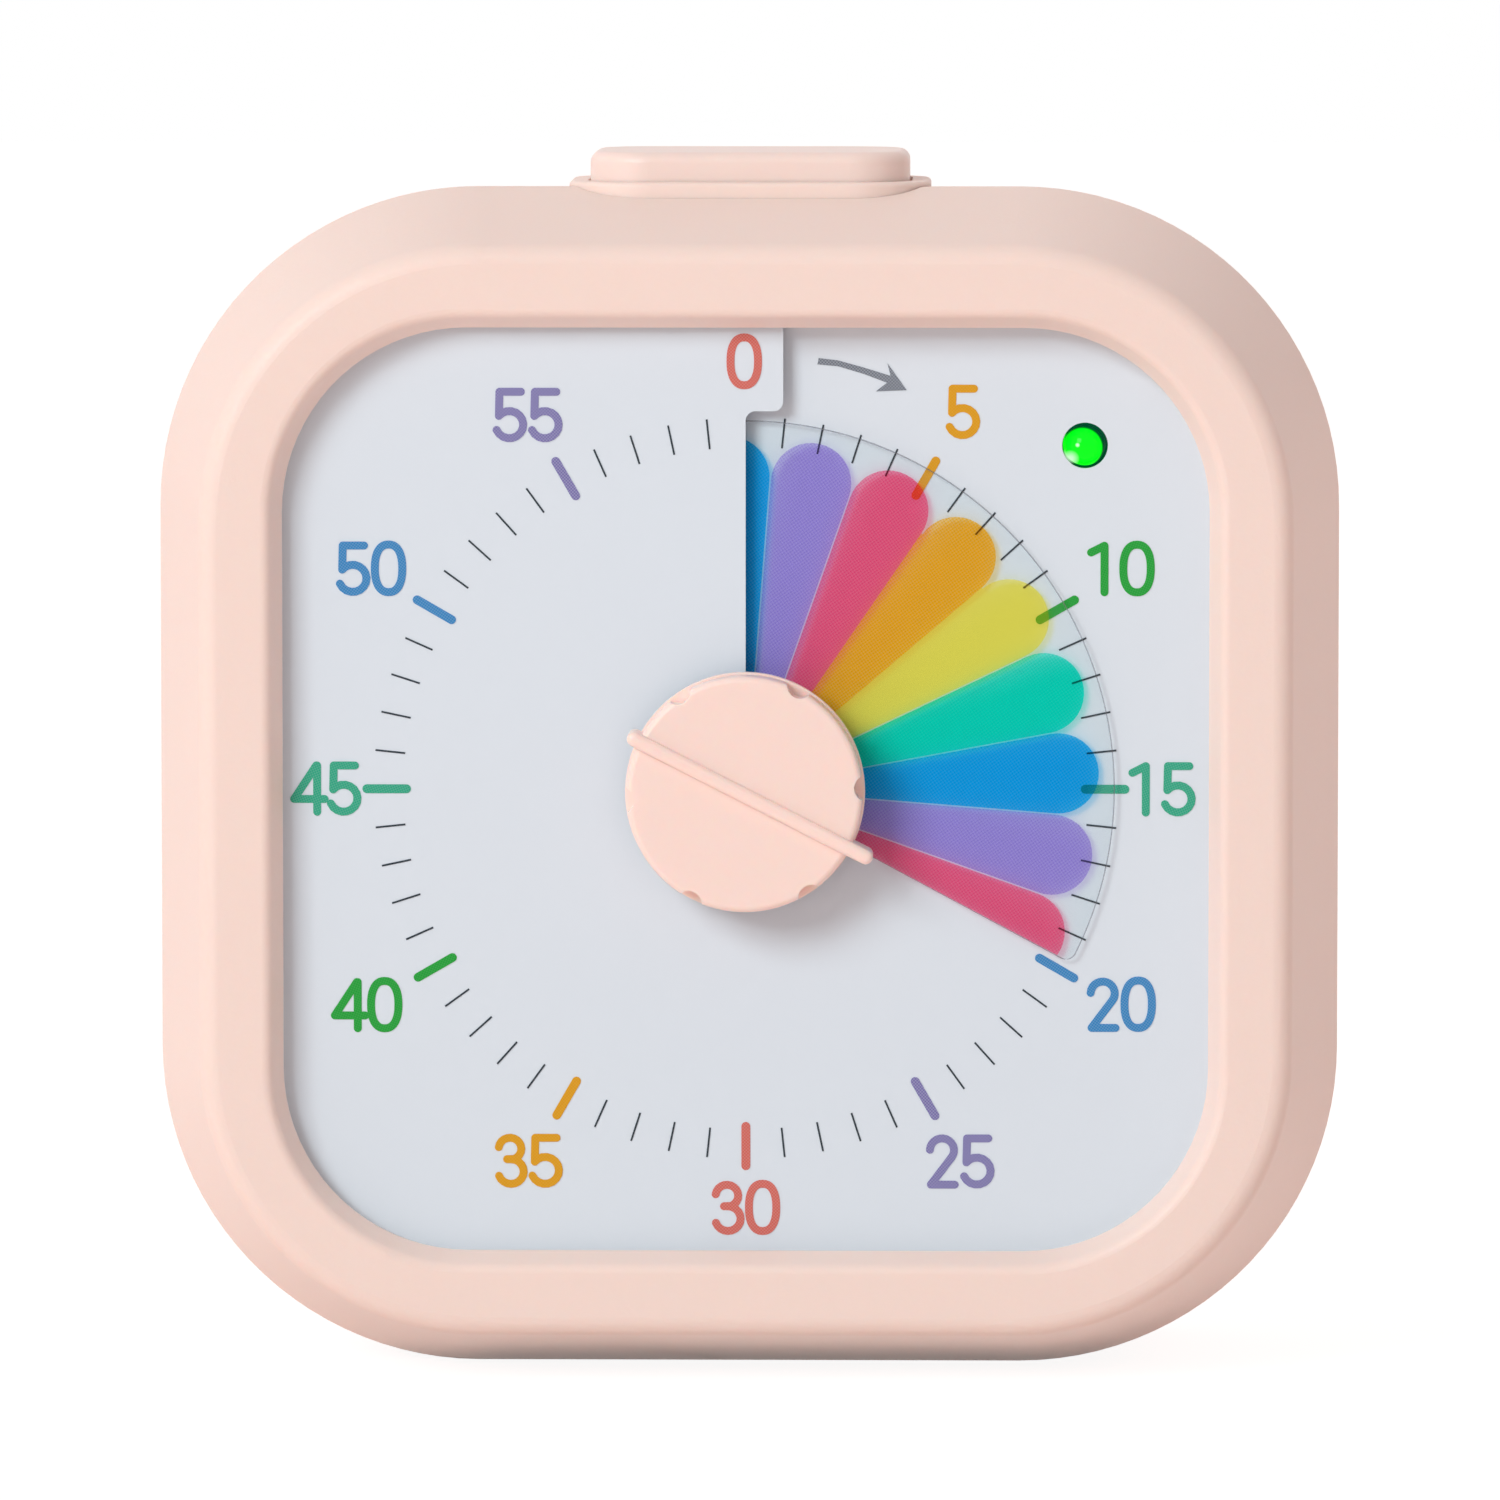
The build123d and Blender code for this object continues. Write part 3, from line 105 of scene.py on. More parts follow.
towards_camera = Vector((
    sin(camera_azimuth) * cos(camera_elevation),
    -cos(camera_azimuth) * cos(camera_elevation),
    sin(camera_elevation),
))
turn_to_scene = (-towards_camera).to_track_quat("-Z", "Y")
camera_right = turn_to_scene @ Vector((1, 0, 0))
camera_up = turn_to_scene @ Vector((0, 1, 0))
aim = Vector((0, dial_y, axis_height)) + camera_right * aim_right + camera_up * aim_up
camera.rotation_mode = "QUATERNION"
camera.rotation_quaternion = turn_to_scene
camera.location = aim + towards_camera * camera_distance
camera_data.clip_start, camera_data.clip_end = 0.05, 20
print("camera stands at", [round(v, 4) for v in camera.location])


# %% [markdown]
# ## Small helpers for node trees
# Shader trees and Geometry Nodes trees are built the same way: add a node, set its options, then
# give each input either a value or a link. One helper does all three, so that a finish reads as a
# short list of what it is made from. The others name the few nodes that come back all the time.

# %% Helpers for node trees
def place(tree, kind, inputs=None, **options):
    """Adds a node, sets its options and fills its inputs with values or links."""
    node = tree.nodes.new(kind)
    for name, option in options.items():
        setattr(node, name, option)
    for name, value in (inputs or {}).items():
        if isinstance(value, bpy.types.NodeSocket):
            tree.links.new(value, node.inputs[name])
        else:
            node.inputs[name].default_value = value
    return node


def calc(tree, operation, *values):
    """One Math node; returns its output."""
    return place(tree, "ShaderNodeMath", dict(enumerate(values)), operation=operation).outputs[0]


def blend(tree, share, first, second):
    """Mixes two colours: the first at share 0, the second at share 1."""
    node = place(tree, "ShaderNodeMix", {0: share, 6: first, 7: second}, data_type="RGBA")
    return node.outputs[2]


def rescale(tree, value, low, high, at_low=0.0, at_high=1.0, style="LINEAR"):
    """Maps low..high onto at_low..at_high and holds the value there beyond both ends."""
    ends = {"Value": value, 1: low, 2: high, 3: at_low, 4: at_high}
    return place(tree, "ShaderNodeMapRange", ends, interpolation_type=style).outputs[0]


def split(tree, vector):
    """The X, Y and Z of a vector."""
    return place(tree, "ShaderNodeSeparateXYZ", {0: vector}).outputs


def new_group(kind, name, inputs, outputs):
    """A node group with named inputs (name, socket kind, value) and outputs (name, kind)."""
    tree = bpy.data.node_groups.new(name, kind)
    for label, socket, value in inputs:
        made = tree.interface.new_socket(label, in_out="INPUT", socket_type=socket)
        if value is not None:
            made.default_value = value
    for label, socket in outputs:
        tree.interface.new_socket(label, in_out="OUTPUT", socket_type=socket)
    entry = tree.nodes.new("NodeGroupInput")
    leave = tree.nodes.new("NodeGroupOutput")
    return tree, entry.outputs, leave.inputs


NUMBER, COLOUR, VECTOR = "NodeSocketFloat", "NodeSocketColor", "NodeSocketVector"
GEOMETRY, MATERIAL = "NodeSocketGeometry", "NodeSocketMaterial"


def srgb(red, green, blue):
    """A screen colour, 0 to 255, as the linear colour that shaders use."""
    def linear(value):
        value /= 255
        return value / 12.92 if value <= 0.04045 else ((value + 0.055) / 1.055) ** 2.4
    return (linear(red), linear(green), linear(blue), 1.0)


# %% [markdown]
# ## Light, world and floor
# The timer stands on white, under one big soft lamp from the upper left. Behind it is a bright
# backdrop of a warm tone, and the room on the reader's side is dimmer: so the flanks stay light
# while the shadow of the window on the dial keeps its depth. The backdrop and the floor are white
# only where the camera, a gloss or a clear part looks at them: the light that they throw on the
# timer has its own level and tone.

# %% World
def looked_at(tree):
    """1 where the camera, a gloss or a clear part looks, 0 for the light that falls on things."""
    path = place(tree, "ShaderNodeLightPath").outputs
    return calc(tree, "MAXIMUM", path["Is Camera Ray"],
                calc(tree, "MAXIMUM", path["Is Glossy Ray"], path["Is Transmission Ray"]))


room_in_front, room_behind = (0.32, 0.32, 0.32, 1), (0.78, 0.64, 0.61, 1)
world = bpy.data.worlds.new("studio")
bpy.context.scene.world = world
world.use_nodes = True
tree = world.node_tree
tree.nodes.clear()
direction = place(tree, "ShaderNodeTexCoord").outputs["Generated"]
behind = rescale(tree, split(tree, direction)["Y"], -0.75, 0.25, style="SMOOTHSTEP")
room = blend(tree, behind, room_in_front, room_behind)
sky = place(tree, "ShaderNodeBackground", {
    "Color": blend(tree, looked_at(tree), room, (1, 1, 1, 1)), "Strength": 1.0})
place(tree, "ShaderNodeOutputWorld", {"Surface": sky.outputs[0]})

# %% Lamp
lamp_side, lamp_distance, lamp_watts = 0.88, 2.2, 28.2
lamp_data = bpy.data.lights.new("window_lamp", "AREA")
lamp_data.shape, lamp_data.size, lamp_data.size_y = "RECTANGLE", lamp_side, lamp_side
lamp_data.energy, lamp_data.color = lamp_watts, (0.96, 1.0, 1.0)
lamp = add_object("window_lamp", lamp_data)
towards_lamp = Vector((-0.70, -1.0, 0.58)).normalized()
lamp.location = Vector((0, 0, axis_height)) + towards_lamp * lamp_distance
lamp.rotation_mode = "QUATERNION"
lamp.rotation_quaternion = towards_lamp.to_track_quat("Z", "Y")

# %% Floor
def blank_finish(name):
    """A new material with an empty node tree; returns both."""
    material = bpy.data.materials.new(name)
    material.use_nodes = True
    material.node_tree.nodes.clear()
    return material, material.node_tree


def close_finish(tree, surface):
    """Ends a finish with its output."""
    place(tree, "ShaderNodeOutputMaterial", {"Surface": surface.outputs[0]})


floor_reach, floor_whiteness = 3.0, 0.75
floor_mesh = bpy.data.meshes.new("floor")
floor_corners = [(x * floor_reach, y * floor_reach, 0)
                 for x, y in ((-1, -1), (1, -1), (1, 1), (-1, 1))]
floor_mesh.from_pydata(floor_corners, [], [(0, 1, 2, 3)])
floor = add_object("floor", floor_mesh)
floor_paper, tree = blank_finish("white_paper_floor")
paper = place(tree, "ShaderNodeBsdfDiffuse", {"Color": (1.0, 0.86, 0.81, 1)})
white = place(tree, "ShaderNodeEmission", {"Color": (1, 1, 1, 1), "Strength": 1.2})
close_finish(tree, place(tree, "ShaderNodeMixShader", {
    0: calc(tree, "MULTIPLY", looked_at(tree), floor_whiteness),
    1: paper.outputs[0], 2: white.outputs[0]}))
floor_mesh.materials.append(floor_paper)
bpy.context.scene.view_settings.view_transform = "Standard"


# %% [markdown]
# ## Effects that several finishes share
# The moulded parts all carry a fine spark-eroded grain, which breaks up their gloss. The printing
# on the dial and on the film is laid down in rows of tiny dots. Metal parts are drawn or turned and
# show fine streaks. Each effect is one node group, and each finish sets its own values.

# %% Shared effects
def own_spot(tree):
    """The place of each spot in the piece's own coordinates."""
    return place(tree, "ShaderNodeTexCoord").outputs["Object"]


def noise(tree, where, scale, detail):
    """Plain noise from 0 to 1."""
    return place(tree, "ShaderNodeTexNoise", {
        "Vector": where, "Scale": scale, "Detail": detail}).outputs["Fac"]


def close_effect(tree, given, result, lift, rough, height):
    """Ends a surface effect: its colour made lighter or darker, its roughness and its height."""
    tinted = place(tree, "ShaderNodeVectorMath", {0: given["Color"], "Scale": lift},
                   operation="SCALE")
    for label, value in (("Color", tinted.outputs[0]), ("Roughness", rough), ("Height", height)):
        tree.links.new(value, result[label])
    return tree


def moulded_grain_group():
    """Grain of a moulded surface: a slightly uneven colour, an uneven gloss and a height."""
    tree, given, result = new_group("ShaderNodeTree", "moulded_grain", [
        ("Color", COLOUR, (0.8, 0.8, 0.8, 1)), ("Cloud Size", NUMBER, 0.02),
        ("Cloud Strength", NUMBER, 0.04), ("Grain Size", NUMBER, 0.0003),
        ("Roughness", NUMBER, 0.5), ("Roughness Spread", NUMBER, 0.08),
    ], [("Color", COLOUR), ("Roughness", NUMBER), ("Height", NUMBER)])
    where = own_spot(tree)
    cloud = noise(tree, where, calc(tree, "DIVIDE", 1.0, given["Cloud Size"]), 3.0)
    grain = noise(tree, where, calc(tree, "DIVIDE", 1.0, given["Grain Size"]), 2.0)
    swing = calc(tree, "SUBTRACT", cloud, 0.5)
    speck = calc(tree, "SUBTRACT", grain, 0.5)
    lift = calc(tree, "MULTIPLY_ADD", calc(tree, "MULTIPLY_ADD", speck, 0.5, swing),
                given["Cloud Strength"], 1.0)
    rough = calc(tree, "MULTIPLY_ADD", speck, given["Roughness Spread"], given["Roughness"])
    return close_effect(tree, given, result, lift, rough, grain)


def print_dots_group():
    """Rows of printed dots, turned by an angle: 1 on a dot, 0 between dots."""
    tree, given, result = new_group("ShaderNodeTree", "print_dots", [
        ("Pitch", NUMBER, 0.00016), ("Angle", NUMBER, 0.785), ("Softness", NUMBER, 0.6),
    ], [("Mask", NUMBER)])
    turned = place(tree, "ShaderNodeVectorRotate", {
        "Vector": own_spot(tree), "Angle": given["Angle"]}, rotation_type="Y_AXIS")
    flat = split(tree, turned.outputs[0])
    waves = []
    for side in ("X", "Z"):
        steps = calc(tree, "DIVIDE", flat[side], given["Pitch"])
        waves.append(calc(tree, "COSINE", calc(tree, "MULTIPLY", steps, one_turn)))
    dots = calc(tree, "MULTIPLY_ADD", calc(tree, "ADD", *waves), 0.25, 0.5)
    mask = rescale(tree, dots, calc(tree, "SUBTRACT", 0.5, given["Softness"]),
                   calc(tree, "ADD", 0.5, given["Softness"]))
    tree.links.new(mask, result["Mask"])
    return tree


def metal_streaks_group():
    """Fine streaks along one axis of drawn or turned metal."""
    tree, given, result = new_group("ShaderNodeTree", "metal_streaks", [
        ("Color", COLOUR, (0.6, 0.6, 0.6, 1)), ("Streak Size", VECTOR, (0.0001, 0.003, 0.0001)),
        ("Roughness", NUMBER, 0.3), ("Roughness Spread", NUMBER, 0.2), ("Tarnish", NUMBER, 0.1),
    ], [("Color", COLOUR), ("Roughness", NUMBER), ("Height", NUMBER)])
    where = own_spot(tree)
    stretched = place(tree, "ShaderNodeVectorMath", {0: where, 1: given["Streak Size"]},
                      operation="DIVIDE")
    streak = noise(tree, stretched.outputs[0], 1.0, 3.0)
    stain = noise(tree, where, 350.0, 4.0)
    swing = calc(tree, "SUBTRACT", streak, 0.5)
    dull = calc(tree, "MULTIPLY", calc(tree, "SUBTRACT", stain, 0.5), given["Tarnish"])
    lift = calc(tree, "ADD", calc(tree, "MULTIPLY_ADD", swing, 0.12, 1.0), dull)
    rough = calc(tree, "MULTIPLY_ADD", swing, given["Roughness Spread"], given["Roughness"])
    return close_effect(tree, given, result, lift, calc(tree, "SUBTRACT", rough, dull), streak)


moulded_grain = moulded_grain_group()
print_dots = print_dots_group()
metal_streaks = metal_streaks_group()
print("shared effects:", [group.name for group in (moulded_grain, print_dots, metal_streaks)])


# %% [markdown]
# ## Finishes
# Most of the timer is injection-moulded plastic. What makes it look moulded is that nothing is
# quite even: a faint cloudiness, a fine grain that only shows in the gloss, and a soft highlight
# along rounded edges. The metals, the board and the cells use the same idea with other values.

# %% Finish makers
def coat(tree, values):
    """Ends a finish with one Principled shader."""
    close_finish(tree, place(tree, "ShaderNodeBsdfPrincipled", values))


def bump(tree, strength, distance, height):
    """A bump from a height; returns the bent normal."""
    return place(tree, "ShaderNodeBump", {
        "Strength": strength, "Distance": distance, "Height": height}).outputs[0]


def moulded_plastic(name, colour, roughness, grain_size, grain_height, cloud=0.03, milky=0.0):
    """Moulded plastic with a fine grain; milky is the share of light that spreads inside it."""
    material, tree = blank_finish(name)
    grain = place(tree, "ShaderNodeGroup", {
        "Color": colour, "Cloud Size": 0.018, "Cloud Strength": cloud, "Grain Size": grain_size,
        "Roughness": roughness, "Roughness Spread": 0.14}, node_tree=moulded_grain).outputs
    coat(tree, {
        "Base Color": grain["Color"], "Roughness": grain["Roughness"], "IOR": 1.5,
        "Subsurface Weight": milky, "Subsurface Radius": (1.0, 0.5, 0.35),
        "Subsurface Scale": 0.6 * MM, "Normal": bump(tree, 0.5, grain_height, grain["Height"])})
    return material


def drawn_metal(name, colour, roughness, streak_size, tarnish=0.1):
    """Bright metal with fine streaks; streak_size is how far one reaches along X, Y and Z."""
    material, tree = blank_finish(name)
    streaks = place(tree, "ShaderNodeGroup", {
        "Color": colour, "Streak Size": streak_size, "Roughness": roughness, "Tarnish": tarnish,
    }, node_tree=metal_streaks).outputs
    coat(tree, {
        "Base Color": streaks["Color"], "Roughness": streaks["Roughness"], "Metallic": 1.0,
        "Normal": bump(tree, 0.3, 0.000008, streaks["Height"])})
    return material


# %% Plastic finishes
housing_plastic = moulded_plastic(
    "peach_housing_plastic", srgb(241, 220, 211), 0.50, 0.00035, 0.000030, cloud=0.02, milky=0.25)
knob_plastic = moulded_plastic(
    "peach_knob_plastic", srgb(250, 224, 216), 0.42, 0.00060, 0.000012, cloud=0.015, milky=0.6)
button_plastic = moulded_plastic(
    "peach_button_plastic", srgb(242, 221, 213), 0.40, 0.00045, 0.000020, cloud=0.02, milky=0.3)
inner_plastic = moulded_plastic(
    "natural_white_plastic", srgb(232, 231, 226), 0.45, 0.0005, 0.00001)
gear_acetal = moulded_plastic("off_white_acetal", srgb(240, 235, 220), 0.35, 0.0006, 0.000006)
chip_resin = moulded_plastic(
    "black_chip_resin", srgb(38, 38, 40), 0.55, 0.0002, 0.00001, cloud=0.2)
buzzer_resin = moulded_plastic(
    "black_buzzer_shell", srgb(30, 30, 32), 0.35, 0.0005, 0.000006, cloud=0.15)
dark_ferrite = moulded_plastic(
    "sintered_ferrite", srgb(70, 70, 73), 0.60, 0.00025, 0.00003, cloud=0.3)

# %% Metal finishes
steel_colour = (0.62, 0.62, 0.64, 1)
bright_steel = drawn_metal("bright_steel", steel_colour, 0.28, (0.0001, 0.0001, 0.004))
turned_brass = drawn_metal("turned_brass", (0.76, 0.55, 0.24, 1), 0.30, (0.0030, 0.0001, 0.0030))
coil_copper = drawn_metal("enamelled_copper", (0.66, 0.26, 0.12, 1), 0.35, (0.00012, 0.003, 0.003))

# %% Board and cells
board_lacquer, tree = blank_finish("green_board_lacquer")
where = own_spot(tree)
warp, weft = [place(tree, "ShaderNodeTexWave", {
    "Vector": where, "Scale": 900.0, "Distortion": 1.0}, bands_direction=axis).outputs["Fac"]
    for axis in "XZ"]
cloth = calc(tree, "MULTIPLY", warp, weft)
coat(tree, {
    "Base Color": blend(tree, cloth, srgb(20, 92, 48), srgb(34, 118, 64)), "Roughness": 0.3,
    "Normal": bump(tree, 0.2, 0.00001, cloth)})

sleeve_stop, bare_steel = 2.2 * MM, 2.1 * MM  # how far in from each end of a cell
cell_low, cell_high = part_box("battery_cell_1")
cell_middle, half_cell = (cell_low.x + cell_high.x) / 2, (cell_high.x - cell_low.x) / 2
cell_sleeve, tree = blank_finish("plain_cell_sleeve")
where = own_spot(tree)
from_middle = calc(tree, "ABSOLUTE", calc(tree, "SUBTRACT", split(tree, where)["X"], cell_middle))
edge = rescale(tree, from_middle, half_cell - sleeve_stop, half_cell - bare_steel)
scuff = noise(tree, where, 900.0, 4.0)
sleeve = blend(tree, scuff, srgb(70, 74, 80), srgb(86, 90, 96))
coat(tree, {
    "Base Color": blend(tree, edge, sleeve, steel_colour), "Metallic": edge,
    "Roughness": calc(tree, "MULTIPLY_ADD", scuff, 0.1, 0.25)})

# %% [markdown]
# ## Dial sheet and lamp
# The dial is a matte plastic sheet, pale blue grey, with a faint tooth. The status lamp glows
# green. A darker crescent at the upper right, just inside the rim, is painted shade where the
# wall of the hole shades the dome. A pale patch at the lower left is a painted reflection, and a
# small white spot left of the middle is a painted highlight of the lamp. All three are placed by
# the dome's own coordinates.

# %% Dial and lamp finishes
dial_sheet_paper = moulded_plastic(
    "blue_grey_dial_sheet", srgb(215, 227, 237), 0.62, 0.00022, 0.000006, cloud=0.012)

lamp_dome, tree = blank_finish("green_lamp_dome")
parts = split(tree, own_spot(tree))


def reach_from(side, rise):
    """Distance from a spot on the dome's face, in shares of its radius."""
    across = calc(tree, "SUBTRACT", parts["X"], led_x + side * led_radius)
    upward = calc(tree, "SUBTRACT", parts["Z"], led_z + rise * led_radius)
    squares = calc(tree, "ADD", *[calc(tree, "MULTIPLY", leg, leg) for leg in (across, upward)])
    return calc(tree, "DIVIDE", calc(tree, "SQRT", squares), led_radius)


# The lamp's green darkens into a crescent near the rim at the upper right: painted shade of the
# hole's wall on the dome.
glow_and_painted_crescent = place(tree, "ShaderNodeValToRGB", {0: reach_from(-0.11, -0.11)})
ramp = glow_and_painted_crescent.color_ramp.elements
ramp[0].position, ramp[0].color = 0.0, (0.0, 1.0, 0.0, 1)
ramp[1].position, ramp[1].color = 1.0, (0.0, 0.05, 0.02, 1)
for share, brightness in ((0.91, 0.96), (0.95, 0.40), (0.975, 0.10)):
    ramp.new(share).color = (0.0, brightness, 0.005, 1)
# Painted light: a pale patch at the lower left stands for light reflected in the dome, and a small
# white spot left of the middle is a painted highlight of the lamp.
painted_pale_patch = rescale(tree, reach_from(-0.68, -0.64), 0.10, 0.42, 0.80, 0.0)
painted_glint = rescale(tree, reach_from(-0.36, 0.03), 0.04, 0.12, 0.95, 0.0)
glow_and_painted_light = blend(tree, calc(tree, "MAXIMUM", painted_pale_patch, painted_glint), glow_and_painted_crescent.outputs[0], (0.75, 1.0, 0.75, 1))
coat(tree, {
    "Base Color": (0.0, 0.05, 0.01, 1), "Roughness": 0.07, "Specular IOR Level": 0.1,
    "Emission Color": glow_and_painted_light, "Emission Strength": 1.0})

# %% [markdown]
# ## Finish every part that comes from the engineering model
# A part's shape is right already, so it only gets its finish. The list below is the whole parts
# list of the timer, from the housing you hold to the gears you never see.

# %% Assign the finishes
finish_of = {
    housing_plastic: ["front_housing", "rear_housing", "battery_door", "button_collar"],
    button_plastic: ["top_button"],
    knob_plastic: ["knob"],
    dial_sheet_paper: ["dial_sheet", "colour_film"],
    inner_plastic: ["dial_carrier", "film_hub", "movement_case", "movement_cover", "volume_slider"],
    gear_acetal: ["shaft_wheel", "reduction_wheel", "rotor_pinion"],
    bright_steel: ["knob_shaft", "retaining_clip", "wheel_arbor", "stator", "case_screws",
                   "carrier_screws", "movement_screws", "board_screws", "button_board_screws",
                   "volume_switch", "flat_contacts", "leaf_springs", "button_spring"],
    turned_brass: ["shaft_bush"],
    coil_copper: ["drive_coil"],
    dark_ferrite: ["rotor_magnet"],
    board_lacquer: ["circuit_board", "button_board"],
    chip_resin: ["controller_chip", "tact_switch"],
    lamp_dome: ["status_led"],
    buzzer_resin: ["buzzer"],
    cell_sleeve: ["battery_cell_1", "battery_cell_2"],
}
for finish, names in finish_of.items():
    for name in names:
        part_slots = nodes[name].material_slots
        for part_slot in part_slots:
            part_slot.material = finish
        if not part_slots:
            nodes[name].data.materials.append(finish)
bare = sorted(set(nodes) - {name for names in finish_of.values() for name in names})
print("parts finished:", len(nodes) - len(bare), "left bare:", bare)


# %% [markdown]
# ## Ink
# The numbers and ticks are screen-printed, each pair of opposite numbers in its own colour. Close
# up, the ink is a field of small dots on the pale sheet, so its colour is mixed with the sheet's
# by the shared dot pattern. The ink is a very thin solid, so that it exists in the exported shape.

# %% Ink finishes
seen_sheet = srgb(216, 222, 230)  # the dial's own colour under the lamp


def dot_rows(tree, pitch, angle, softness):
    """The shared dot pattern with values of its own."""
    return place(tree, "ShaderNodeGroup", {
        "Pitch": pitch, "Angle": angle, "Softness": softness}, node_tree=print_dots).outputs[0]


def printed_ink(name, colour, paper_share, angle):
    """Ink printed in dots on the dial sheet."""
    material, tree = blank_finish(name)
    dots = dot_rows(tree, 0.165 * MM, angle, 0.35)
    pale = tuple(c + (p - c) * paper_share for c, p in zip(colour, seen_sheet))
    coat(tree, {
        "Base Color": blend(tree, dots, pale, colour), "Specular IOR Level": 0.2,
        "Roughness": calc(tree, "MULTIPLY_ADD", dots, -0.08, 0.58)})
    return material


ink = {name: printed_ink(f"{name}_ink", srgb(*colour), paper_share, angle)
       for name, colour, paper_share, angle in (
           ("coral", (204, 90, 74), 0.20, 0.79), ("amber", (214, 154, 0), 0.04, 0.79),
           ("green", (0, 156, 44), 0.06, 1.20), ("teal", (0, 162, 126), 0.14, 0.40),
           ("blue", (10, 126, 190), 0.18, 0.95), ("violet", (104, 98, 166), 0.32, 0.79),
           ("grey", (92, 104, 118), 0.35, 0.79), ("slate", (38, 50, 60), 0.04, 0.79))}
print("inks:", sorted(ink))


# %% [markdown]
# ## Laying things on the screw
# Both the printing and the film are easiest to draw flat, as if on a drawing board. A Geometry
# Nodes tree then lays them on the screw: every point is moved towards the reader by its share of a
# turn. The tree takes the angle as a field, because the film overlaps the place where the angle
# starts again, while ink can simply be measured from just right of the cut.

# %% Tree that lays a flat drawing on the screw
def lay_on_screw_group():
    """Moves every point of a flat drawing towards the reader by its share of a turn."""
    tree, given, result = new_group("GeometryNodeTree", "lay_on_screw", [
        ("Geometry", GEOMETRY, None), ("Turn", NUMBER, 0.0),
        ("Surface Y", NUMBER, 0.0), ("Rise", NUMBER, 0.001), ("Axis Height", NUMBER, 0.0),
    ], [("Geometry", GEOMETRY)])
    flat = split(tree, place(tree, "GeometryNodeInputPosition").outputs[0])
    nearer = calc(tree, "MULTIPLY", given["Turn"], calc(tree, "DIVIDE", given["Rise"], one_turn))
    laid = place(tree, "ShaderNodeCombineXYZ", {
        "X": flat["X"], "Z": calc(tree, "ADD", flat["Z"], given["Axis Height"]),
        "Y": calc(tree, "SUBTRACT", calc(tree, "ADD", flat["Y"], given["Surface Y"]), nearer)})
    moved = place(tree, "GeometryNodeSetPosition", {
        "Geometry": given["Geometry"], "Position": laid.outputs[0]})
    tree.links.new(moved.outputs[0], result["Geometry"])
    return tree


lay_on_screw = lay_on_screw_group()


def laid_on_screw(tree, given, drawing, turn):
    """Uses that tree inside another one, with the sizes that the other one is given."""
    sizes = {label: given[label] for label in ("Surface Y", "Rise", "Axis Height")}
    laid = place(tree, "GeometryNodeGroup", {"Geometry": drawing, "Turn": turn, **sizes},
                 node_tree=lay_on_screw)
    return place(tree, "GeometryNodeRealizeInstances", {"Geometry": laid.outputs[0]}).outputs[0]


def run_tree(name, tree, flat_mesh, values):
    """Runs a tree on a flat mesh and returns the finished object, with no modifier left."""
    draft = add_object(name + "_draft", flat_mesh)
    modifier = draft.modifiers.new("nodes", "NODES")
    modifier.node_group = tree
    sockets = {item.name: item.identifier for item in tree.interface.items_tree
               if item.in_out == "INPUT"}
    for label, value in values.items():
        modifier[sockets[label]] = value
    bpy.context.view_layer.update()
    depsgraph = bpy.context.evaluated_depsgraph_get()
    mesh = bpy.data.meshes.new_from_object(draft.evaluated_get(depsgraph), depsgraph=depsgraph)
    bpy.data.objects.remove(draft)
    mesh.name = name
    return add_object(name, mesh)


# %% [markdown]
# ## Ticks
# A tick is one short bar, repeated round the axis: 48 thin dark ones and eleven thick coloured
# ones with round ends. One tree makes both. It draws a bar with round ends, stands it on each of
# the chosen minutes, joins the numbers drawn flat beside it, and lays everything on the screw.

